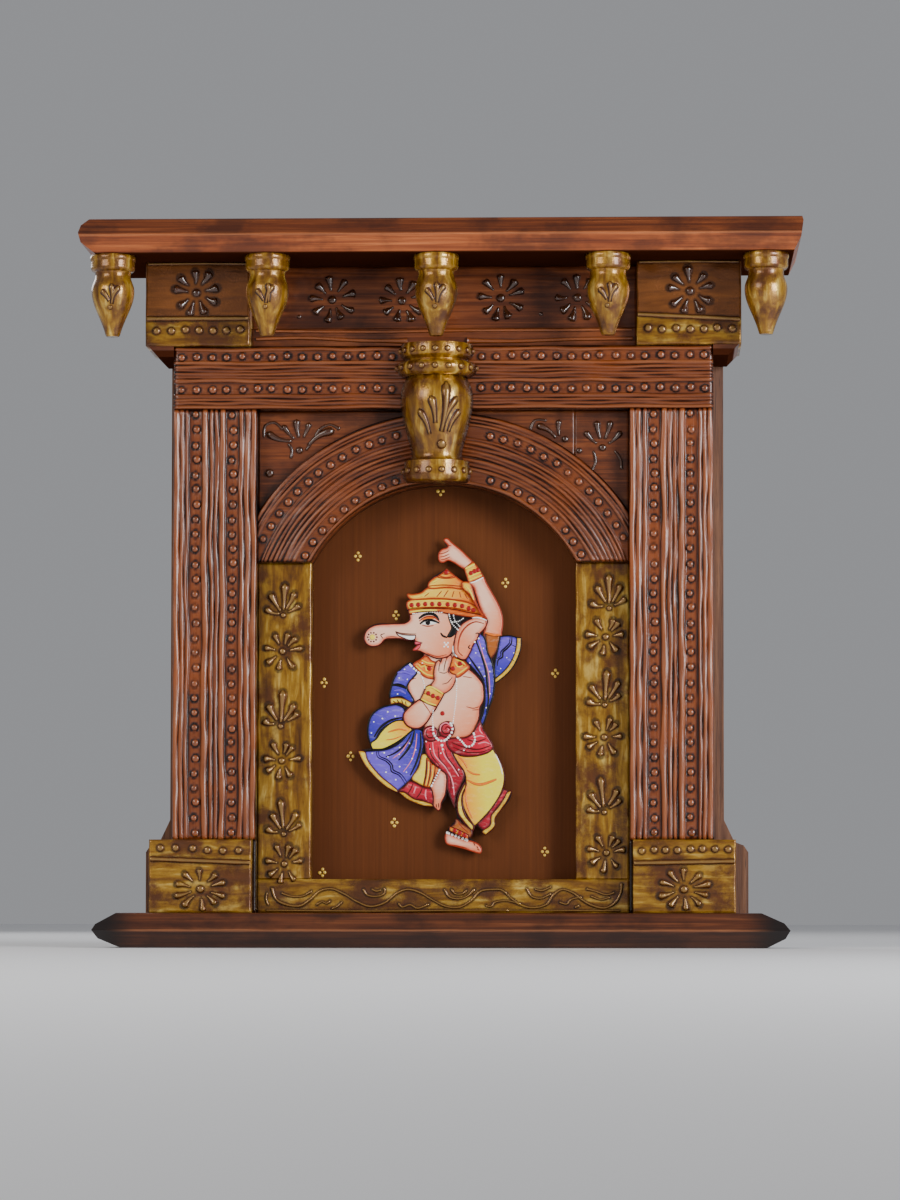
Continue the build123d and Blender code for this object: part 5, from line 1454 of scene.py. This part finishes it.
# Each stroke: (paint, half width, points)
STROKES = (
    # raised hand and arm, and the bracelet
    ("rust", 0.28, ((-4.4, 337.2), (0, 338), (4.2, 340.2))),
    ("rust", 0.28, ((-3.6, 334.6), (0, 335.2), (4.4, 337.2))),
    ("rust", 0.28, ((-2.8, 332.2), (0.6, 332.8), (5, 334.8))),
    ("rust", 0.28, ((1.6, 346), (3.8, 344.6), (6.2, 344))),
    ("yellow", 0.8, ((18, 324.2), (26, 328.3))),
    ("yellow", 0.55, ((20.6, 317.2), (31, 321.4))),
    ("yellow", 0.5, ((21.5, 314.6), (32.2, 318.8))),
    ("white", 0.4, ((21.5, 312), (27, 313.6), (33.4, 316.8))),
    ("orange", 0.7, ((35, 269.6), (42, 267.6), (48.2, 267.6))),
    ("rust", 0.25, ((35, 283), (36, 276), (35, 271))),
    # fan
    ("black", 0.55, ((58, 266), (57.4, 260), (53.6, 255.6), (50.4, 252.6), (50, 248.6), (46.4, 246),
        (45.6, 241))),
    ("black", 0.4, ((56.4, 266), (55.8, 260.6), (52, 256.4), (48.6, 253), (48.4, 249.6), (45, 247))),
    ("black", 0.22, ((57, 247), (60, 245))),
    ("black", 0.22, ((57.5, 259), (62, 257))),
    # shawl over the shoulder
    ("black", 0.75, ((27, 263), (32, 250), (35.6, 238), (37, 226), (38, 212), (36.4, 201))),
    ("black", 0.6, ((21, 249), (27, 240.5), (31, 234.5), (34.6, 228))),
    ("pink", 0.3, ((30, 262), (33.4, 250), (37.6, 236), (39, 222), (38.6, 212))),
    # sleeve and its cuff
    ("black", 1.0, ((-44.8, 224.4), (-41, 224.8), (-36, 223.6), (-32, 221.6))),
    ("violet", 0.9, ((-40, 235), (-35, 236), (-29, 234))),
    ("violet", 0.8, ((-43, 219.6), (-38, 220), (-33, 217))),
    ("maroon", 0.3, ((-44, 211), (-41, 208.8))),
    ("maroon", 0.3, ((-40.5, 212), (-38.5, 209.2))),
    ("maroon", 0.3, ((-36.6, 212), (-35.4, 208.6))),
    ("maroon", 0.3, ((-33.2, 210.6), (-32.6, 207.6))),
    # shawl and fold at the hip
    ("black", 0.7, ((-36, 196.6), (-45.5, 194.4), (-54.6, 188.4), (-60, 180))),
    ("orange", 0.5, ((-32, 185.6), (-39, 186.6), (-48, 184))),
    ("orange", 0.35, ((-36, 181), (-43, 178.4), (-50, 177.4))),
    # hanging cloth
    ("black", 0.75, ((-25.4, 185.6), (-27.6, 176.2), (-32.4, 167.6), (-39.1, 160))),
    ("black", 0.65, ((-20.4, 184), (-20, 172), (-23.6, 158.6), (-29, 147))),
    ("black", 0.55, ((-28, 183), (-33, 174), (-42, 166.4), (-50, 163))),
    ("black", 0.4, ((-57.9, 167.4), (-57, 162.9), (-49.8, 159.2), (-46, 155.2), (-45, 150.5),
        (-39.3, 147.6), (-36.4, 144.7), (-33.6, 140))),
    ("black", 0.4, ((-56.2, 167.6), (-55.4, 163.8), (-48.6, 160.4), (-44.4, 156), (-43.4, 151.8),
        (-38.2, 149), (-35, 146), (-32, 141.4))),
    ("pink", 0.3, ((-23.4, 183), (-24.4, 172), (-28, 160), (-35, 150))),
    ("pink", 0.3, ((-30, 178), (-36, 168), (-44, 161.6))),
    # pleats under the lifted leg
    ("maroon", 0.35, ((-18.4, 137.2), (-20.2, 132.4), (-23.6, 127.6))),
    ("maroon", 0.35, ((-26.4, 140.4), (-28.4, 135.6), (-31.4, 131))),
    ("pink", 0.45, ((-15.4, 135), (-16, 130), (-15, 126.4))),
    ("pink", 0.45, ((-24, 137.6), (-26, 132))),
    # legging
    ("maroon", 0.45, ((-14.6, 160.4), (-15.2, 149), (-17.1, 139))),
    ("maroon", 0.4, ((-11.4, 157.4), (-12, 147), (-14.2, 137.6))),
    ("maroon", 0.35, ((-7.4, 154.6), (-8.6, 146), (-11.6, 138.4))),
    ("yellow", 0.4, ((-13.2, 158.8), (-13.6, 148.6), (-15.6, 138.4))),
    ("yellow", 0.35, ((-9.4, 155.8), (-10.2, 146.6), (-12.8, 138))),
    # toes of the lifted foot
    ("maroon", 0.3, ((-4.6, 123.4), (-4.4, 119.4))),
    ("maroon", 0.3, ((-6.6, 122.6), (-6.4, 119.6))),
    # drape between the legs
    ("maroon", 0.45, ((-4.9, 171), (-4, 162), (2.6, 152.8), (5.6, 144.8), (6, 134))),
    ("maroon", 0.4, ((1, 170), (3, 162.6), (9, 154.3), (14.4, 145.9))),
    ("maroon", 0.35, ((-12.6, 174), (-10.6, 164), (-3, 155))),
    ("pink", 0.5, ((-9.8, 175.3), (-8, 164.6), (2, 153), (7.4, 141), (8.6, 130))),
    ("pink", 0.45, ((-2, 172), (0.4, 164), (7, 155), (12.6, 146))),
    # dhoti
    ("orange", 0.8, ((20, 143.2), (26, 140), (32.5, 139.4), (45, 143.8))),
    ("orange", 0.55, ((19.6, 151.6), (25, 148.4), (31, 147.6))),
    ("orange", 0.5, ((12, 163.6), (17, 158.4), (20, 153))),
    ("orange", 0.5, ((19.4, 138.4), (18.4, 130), (20.4, 119.4), (24.4, 110))),
    ("white", 0.35, ((43.8, 166), (48, 156.4), (50, 148))),
    # standing foot
    ("maroon", 0.3, ((25.4, 89.4), (26.6, 87))),
    ("maroon", 0.28, ((28, 86.6), (29.2, 84.4))),
    ("maroon", 0.28, ((28.4, 83.8), (30.6, 83.2))),
    ("rust", 0.25, ((5, 88), (12, 86.8), (20, 84.8))),
    ("rust", 0.3, ((12, 107.6), (15, 103.4), (21, 98))),
    # sash
    ("maroon", 0.4, ((6.4, 175.3), (18.2, 170.8), (29.7, 169.4), (40.4, 172.8))),
    ("maroon", 0.35, ((8, 171), (20, 166.8), (32, 167), (39, 169.4))),
    ("maroon", 0.35, ((20, 177.6), (28, 176), (36, 178.6))),
    ("pink", 0.5, ((26, 179.4), (31, 181), (34.4, 180))),
    ("pink", 0.45, ((29, 174), (35, 175.4), (38.8, 174))),
    ("pink", 0.4, ((31, 190), (30.4, 186), (33, 182.6))),
    # knots at the waist
    ("maroon", 0.4, ((4.6, 190.6), (0, 190.6), (-2, 186.6), (0.4, 182.8), (4.6, 183.6), (5.4, 187),
        (2.4, 188.6), (0.8, 186.4))),
    ("pink", 0.45, ((5.8, 189), (1.6, 192), (-2.8, 189.4), (-3.2, 184.6))),
    ("pink", 0.35, ((2.8, 185.2), (4.2, 186.2), (2.6, 187.2))),
    ("maroon", 0.4, ((-9, 187), (-13.6, 187.2), (-15.6, 183.6), (-13.4, 179.6), (-9.4, 180),
        (-8.8, 183.6), (-12, 184.6))),
    ("pink", 0.35, ((-10.6, 188.2), (-15.4, 186), (-16.4, 182))),
    # belly and chest
    ("rust", 0.28, ((19, 206), (25, 204.6), (30, 206))),
    ("rust", 0.25, ((24, 203), (30, 203.4))),
    ("rust", 0.25, ((-30.6, 226), (-27, 229.6), (-24, 230.4))),
    ("rust", 0.25, ((16, 232), (24, 230.6))),
    # forearm and its bracelet
    ("rust", 0.3, ((-18.6, 210), (-14, 204), (-11, 199))),
    ("yellow", 0.6, ((-15.8, 221.6), (-12, 223), (-0.8, 216.8))),
    ("yellow", 0.6, ((-19.6, 212.6), (-13, 209), (-6.8, 207.2))),
    ("maroon", 0.25, ((-17.6, 217.6), (-10, 214.6), (-2, 213.4))),
    # palm and fingers
    ("maroon", 0.28, ((-4.6, 236), (-4.2, 241), (-3, 244.6))),
    ("maroon", 0.28, ((-0.2, 236.4), (0.6, 242), (2.2, 247.4))),
    ("maroon", 0.28, ((4.2, 240), (3.4, 236.4), (4.6, 234))),
    ("maroon", 0.25, ((-1.6, 225.2), (3, 226.6), (7, 231.4))),
    ("maroon", 0.25, ((-4.4, 235.6), (0, 234.6), (3.4, 236))),
    # necklace
    ("yellow", 0.5, ((-24.4, 241), (-19.4, 236.6), (-14.4, 233.4), (-9.6, 232.4))),
    ("yellow", 0.5, ((19.6, 239.6), (15.6, 236.6), (11, 233.6))),
    ("yellow", 0.45, ((-22, 243), (-20, 240), (-16.6, 241), (-15, 237), (-11, 238.4))),
    ("yellow", 0.45, ((9, 244), (12, 240), (16, 241.4))),
    ("yellow", 0.5, ((-19.4, 246), (-14.6, 243.6), (-9, 243))),
    ("yellow", 0.5, ((9.6, 246.6), (14.6, 244.6), (18, 242))),
    ("maroon", 0.25, ((-22.6, 243.8), (-16.8, 241.4), (-9.4, 240.2))),
    ("maroon", 0.25, ((17.6, 241.6), (10, 241))),
    # eye
    ("black", 0.9, ((-21.9, 281.4), (-16.6, 285), (-10.4, 285.6), (-5.9, 282.8), (-4.7, 280))),
    ("rust", 0.5, ((-21.4, 279.4), (-16.2, 282.7), (-8.7, 282.7), (-3.7, 278.7))),
    ("black", 0.75, ((-20.9, 276.8), (-17, 279.7), (-11.6, 280.2), (-6.4, 278.6), (-4, 277.4))),
    ("rust", 0.32, ((-19, 276), (-14.6, 274.9), (-9, 275.6))),
    ("orange", 0.5, ((-19.4, 280.4), (-14, 282), (-8.4, 281.6))),
    # trunk, tusk, mouth and neck
    ("maroon", 0.3, ((-42, 270.6), (-38, 269.2), (-31, 268.3), (-24, 268.3))),
    ("maroon", 0.3, ((-52.4, 264.4), (-54.4, 267.4), (-51, 268.6))),
    ("rust", 0.25, ((-50, 265.6), (-44, 266), (-40, 265.6))),
    ("maroon", 0.3, ((-25.4, 259.2), (-22, 259), (-18.6, 260.8))),
    ("black", 0.6, ((-3, 269.4), (-1.4, 266.8), (2.8, 265.2))),
    ("rust", 0.25, ((-15, 252), (-6, 249), (2, 250.6))),
    # ear and hair
    ("rust", 0.5, ((34, 277), (27, 278.6), (20, 275.4), (14.8, 269), (12.2, 260), (12.6, 252.6),
        (16, 249.4))),
    ("white", 0.4, ((24, 282), (30, 282), (36.4, 279.8))),
    ("white", 0.5, ((7.6, 258), (8, 252), (11, 248.6))),
    ("black", 0.4, ((26.8, 268.4), (28.8, 269), (30, 267), (28.4, 265))),
    ("black", 0.35, ((22.4, 258.8), (20.8, 256.6), (23, 255.2))),
    # crown
    ("rust", 0.35, ((-13, 309.6), (0, 310.4), (15.6, 309))),
    ("rust", 0.3, ((-5, 318.4), (2, 316.8), (8.4, 318.2))),
    ("rust", 0.3, ((-3, 320.4), (1.6, 319.4), (5.6, 320.6))),
    ("yellow", 0.7, ((-10.6, 312.4), (-6, 315))),
    ("rust", 0.3, ((-2, 305.6), (-6.6, 300.2))),
    ("rust", 0.3, ((3.4, 306), (-0.6, 300))),
    ("rust", 0.3, ((8.4, 305.4), (6.6, 299.8))),
    ("rust", 0.3, ((13, 304.6), (14.4, 299.4))),
    ("rust", 0.3, ((17.4, 303), (20, 298.4))),
    ("rust", 0.3, ((-13, 304), (-17, 300.4))),
    ("yellow", 0.5, ((-27, 300.4), (-19, 301.4), (-13, 304.6))),
    ("yellow", 0.4, ((-26, 296.8), (-10, 297.2), (6, 296.6), (20, 293.8))),
    ("yellow", 0.6, ((-29.6, 287), (-20, 288.4), (-6, 288.6))),
    ("yellow", 0.5, ((18, 310.4), (22, 305), (25.4, 297.4))),
    ("rust", 0.3, ((-28, 291), (-10, 291.4), (8, 290.8), (26, 287))),
)

# Each string of pearls: (pearl radius, spacing, points)
PEARL_STRINGS = (
    (0.45, 1.5, ((-27, 285.6), (-20, 286.2), (-10, 286.8), (-2, 286.6))),
    (0.5, 1.5, ((4.2, 285), (6.2, 278), (12, 271.6))),
    (0.45, 1.4, ((8, 284.4), (9, 280), (13.4, 274.6))),
    (0.45, 1.4, ((6.6, 278.4), (12, 279), (16.4, 281.6))),
    (0.85, 2.3, ((-29.4, 242), (-26, 238.6), (-21.4, 234.6))),
    (0.6, 1.7, ((-19, 231), (-17.4, 226), (-16.8, 222))),
    (0.5, 1.5, ((10.6, 230), (10.4, 216), (9, 203), (7.4, 191.6))),
    (0.45, 1.5, ((-9.4, 203), (-10, 196), (-9.4, 189))),
    (0.95, 2.5, ((-9.5, 188), (-9, 182.9), (-4.9, 177.4), (0.2, 176.8), (4.9, 181), (7.2, 186.7),
        (5.6, 191.6))),
    (0.8, 2.0, ((11.5, 179.6), (15.3, 175.9), (19.2, 171.8), (23.9, 172.6), (26.4, 177.4), (25.4, 183))),
    (0.75, 1.9, ((-4, 151.6), (-7.2, 145), (-10.8, 137.8))),
    (1.1, 2.9, ((2.8, 98), (10, 95.2), (19.6, 91.6))),
)
# Each white dot: (x, level, radius)
WHITE_DOTS = (
    (22, 243.4, 0.6), (30, 239.6, 0.7), (34, 245, 0.6), (39, 236, 0.6), (34.6, 232, 0.7),
    (39.4, 217, 0.6), (36, 205, 0.55), (33.6, 256, 0.55), (27, 252, 0.6), (-34, 238, 0.6),
    (-38.6, 230.6, 0.6), (-31.6, 229.4, 0.6), (-40, 216.8, 0.6), (-48.4, 201.6, 0.7), (-60.4, 193, 0.6),
    (-53, 195.8, 0.7), (-42, 197.8, 0.7), (-62.4, 183.4, 0.6), (-29.8, 174.6, 0.6), (-38.1, 171, 0.6),
    (-51.4, 166.4, 0.7), (-48.2, 163, 0.6), (-61.6, 166, 0.6), (-38.4, 165, 0.6), (-27.4, 161.4, 0.7),
    (-38.1, 154.6, 0.7), (-26, 152.9, 0.6), (-32.2, 149.8, 0.6), (-49.8, 149.8, 0.7), (-41.4, 143.4, 0.7),
    (-24.4, 169, 0.6), (53.6, 248, 0.5), (59.6, 252, 0.5), (48.4, 238.6, 0.5), (-12, 169.6, 0.6),
    (-2.8, 166, 0.6), (12.6, 152, 0.6), (8, 136.6, 0.6), (-15.4, 176, 0.6), (17, 168.4, 0.6),
    (-14.7, 279.2, 0.5), (-1.8, 172.8, 1.2), (-1.2, 169.4, 0.8), (1.6, 259, 1.1), (0, 257.4, 0.8),
    (3.2, 260.6, 0.8), (3.2, 257.2, 0.8), (0.2, 260.8, 0.8), (29.6, 264.4, 0.7), (26.2, 261.2, 0.8),
    (-18.8, 243.4, 0.6))
RED_GEMS = (
    (-28.1, 293.2), (-22.4, 293.6), (-16.4, 294.1), (-10.4, 294.1), (-4.2, 294.1), (2.9, 293.8),
    (9.1, 293.2), (15.3, 292.4), (21.1, 290.4), (25, 288.8), (22.8, 320.6), (25.8, 322.2), (28.6, 323.2),
    (1.6, 321.4), (-13.6, 217.4), (-9.6, 215.2), (-5.4, 213.4), (-12.8, 238.6), (7.4, 238.6), (13.6, 243),
    (-1.5, 200.2), (9.4, 99.9), (13.6, 97.7), (17.6, 95.8))
TRUNK_SUN = (-61.6, 265.6)
IRIS = (-14.0, 278.0)


def lay_coat(canvas, name, colour, ink, width, wash_from, wash_to, points, strings):
    """One coat of paint, a thin closed patch following its outline, with an inked line round it."""
    loop = smooth_loop(list(points))
    width *= INK_WEIGHT
    rim = canvas.coat(loop, width)
    low = np.min(loop, axis=0)
    high = np.max(loop, axis=0)
    x, level = grid((low[0], high[0]), (low[1], high[1]), 1.5, 1.5)
    x = (x + np.where(np.arange(x.shape[0]) % 2, 0.35, -0.35)[:, None]).ravel()
    level = level.ravel()
    kept = inside(loop, x, level) & (inset(loop, x, level) > 0.7)
    flat_points = [Vector(point) for point in loop] + [Vector(point) for point in zip(x[kept], level[kept])]
    count = len(loop)
    found, _, triangles, *_ = geometry.delaunay_2d_cdt(flat_points, [], [list(range(count))], 1, 1e-5)
    at = np.array([(point.x, point.y) for point in found])
    depth = inset(loop, at[:, 0], at[:, 1])
    top = np.column_stack((at, rim + pillow_rise(depth)))
    under = np.column_stack((at, np.full(len(at), FIGURE_FACE - 0.3)))
    edges = {}
    for a, b, c in triangles:
        for pair in ((a, b), (b, c), (c, a)):
            edges[pair] = edges.get(pair, 0) + 1
    offset = len(at)
    faces = [tuple(triangle) for triangle in triangles]
    faces += [tuple(offset + corner for corner in reversed(triangle)) for triangle in triangles]
    faces += [(b, a, offset + a, offset + b) for a, b in edges if (b, a) not in edges]
    if faces_wall(top, triangles[0]):
        faces = [face[::-1] for face in faces]
    piece = make_piece(f"figure_{name}", np.vstack((top, under)), faces, PAINTS[colour],
                       np.concatenate((depth, np.zeros(len(at)))))
    if wash_from:
        start = np.array(wash_from)
        run = np.array(wash_to) - start
        share = np.clip((at - start) @ run / (run @ run), 0, 1)
        piece.data.attributes.new("wash", "FLOAT", "POINT").data.foreach_set(
            "value", np.tile(share, 2).astype(np.float32))
    if ink:
        closed = loop + loop[:1]
        strings[ink].string(closed, [width] * len(closed), rise=INK_RISE / width, sunk=0.2, sides=5)


def build_figure():
    canvas = Canvas("ganesha_figure")
    strings = {colour: Clay(canvas.place) for colour in PAINTS}
    for coat in COATS:
        lay_coat(canvas, *coat, strings)
    for colour, width, points in STROKES:
        path = smooth_path(points, 0.9)
        widths = [STROKE_WEIGHT * width * (0.55 + 0.6 * math.sin(math.pi * i / (len(path) - 1)))
                  for i in range(len(path))]
        strings[colour].string(path, widths, rise=0.4, sunk=0.2, sides=5)
    for radius, spacing, points in PEARL_STRINGS:
        path = smooth_path(points, spacing)
        for x, level in path:
            strings["white"].dome(x, level, 1.15 * radius, rise=0.7, sunk=0.2)
    for x, level, radius in WHITE_DOTS:
        strings["white"].dome(x, level, radius, rise=0.4, sunk=0.2)
    for x, level in RED_GEMS:
        strings["ruby"].dome(x, level, 2.05, rise=0.3, sunk=0.2)
    strings["black"].dome(*IRIS, 2.2, rise=0.12, sunk=0.1)
    strings["yellow"].dome(*TRUNK_SUN, 2.5, rise=0.3, sunk=0.2)
    for ray in range(10):
        turn = math.pi * ray / 5
        strings["maroon"].dome(TRUNK_SUN[0] + 3.9 * math.cos(turn), TRUNK_SUN[1] + 3.9 * math.sin(turn), 0.8,
                               rise=0.3, sunk=0.2)
    for colour, clay in strings.items():
        if clay.points:
            clay.piece(f"figure_{colour}_lines", PAINTS[colour], "painted_figure")


FIGURE_FACE = measure("ganesha_figure")[2][1]
dress("ganesha_figure", paint("paint_edge", (30, 12, 8), (30, 12, 8), streak=0.1))
build_figure()


# ------------------------------------------------------------------ camera, lights, floor
def add_area(name, place, aim, size, power, colour):
    lamp = bpy.data.lights.new(name, "AREA")
    lamp.shape = "RECTANGLE"
    lamp.size, lamp.size_y = size
    lamp.energy = power
    lamp.color = colour
    holder = bpy.data.objects.new(name, lamp)
    holder.location = place
    holder.rotation_euler = (Vector(aim) - Vector(place)).to_track_quat("-Z", "Y").to_euler()
    bpy.context.scene.collection.objects.link(holder)


def build_stage():
    floor_mesh = bpy.data.meshes.new("floor")
    reach = 9.0
    floor_mesh.from_pydata([(-reach, -reach, BASE_Z), (reach, -reach, BASE_Z), (reach, reach, BASE_Z),
                            (-reach, reach, BASE_Z)], [], [(0, 1, 2, 3)])
    floor = bpy.data.objects.new("floor", floor_mesh)
    bpy.context.scene.collection.objects.link(floor)
    paint = Finish("pale_floor", roughness=0.75)
    paint.shader.inputs["Base Color"].default_value = (0.86, 0.86, 0.87, 1)
    floor_mesh.materials.append(paint.material)
    world = bpy.data.worlds.new("studio")
    world.use_nodes = True
    world.node_tree.nodes["Background"].inputs["Color"].default_value = (0.60, 0.61, 0.64, 1)
    world.node_tree.nodes["Background"].inputs["Strength"].default_value = 0.5
    bpy.context.scene.world = world
    add_area("window", (2.1, -2.2, 0.6), (0, -0.05, 0.0), (1.0, 1.4), 92, (0.95, 0.97, 1.0))
    add_area("front_fill", (-2.1, -2.6, 1.1), (0, -0.05, 0.0), (1.6, 1.2), 38, (1.0, 0.94, 0.85))
    add_area("back_fill", (-1.5, 2.2, 1.4), (0, 0, 0), (1.5, 1.5), 24, (1, 1, 1))


VIEWPOINT = (0.1676, -3.75, -0.2792)
VIEW_TURN = (92.9, -0.05, 2.04)        # degrees


def build_camera():
    lens = bpy.data.cameras.new("camera")
    lens.sensor_width = 36.0
    lens.lens = 129.7
    lens.shift_x = -0.03
    lens.shift_y = 0.08
    holder = bpy.data.objects.new("camera", lens)
    holder.location = VIEWPOINT
    holder.rotation_euler = [math.radians(turn) for turn in VIEW_TURN]
    bpy.context.scene.collection.objects.link(holder)
    bpy.context.scene.camera = holder


build_stage()
build_camera()
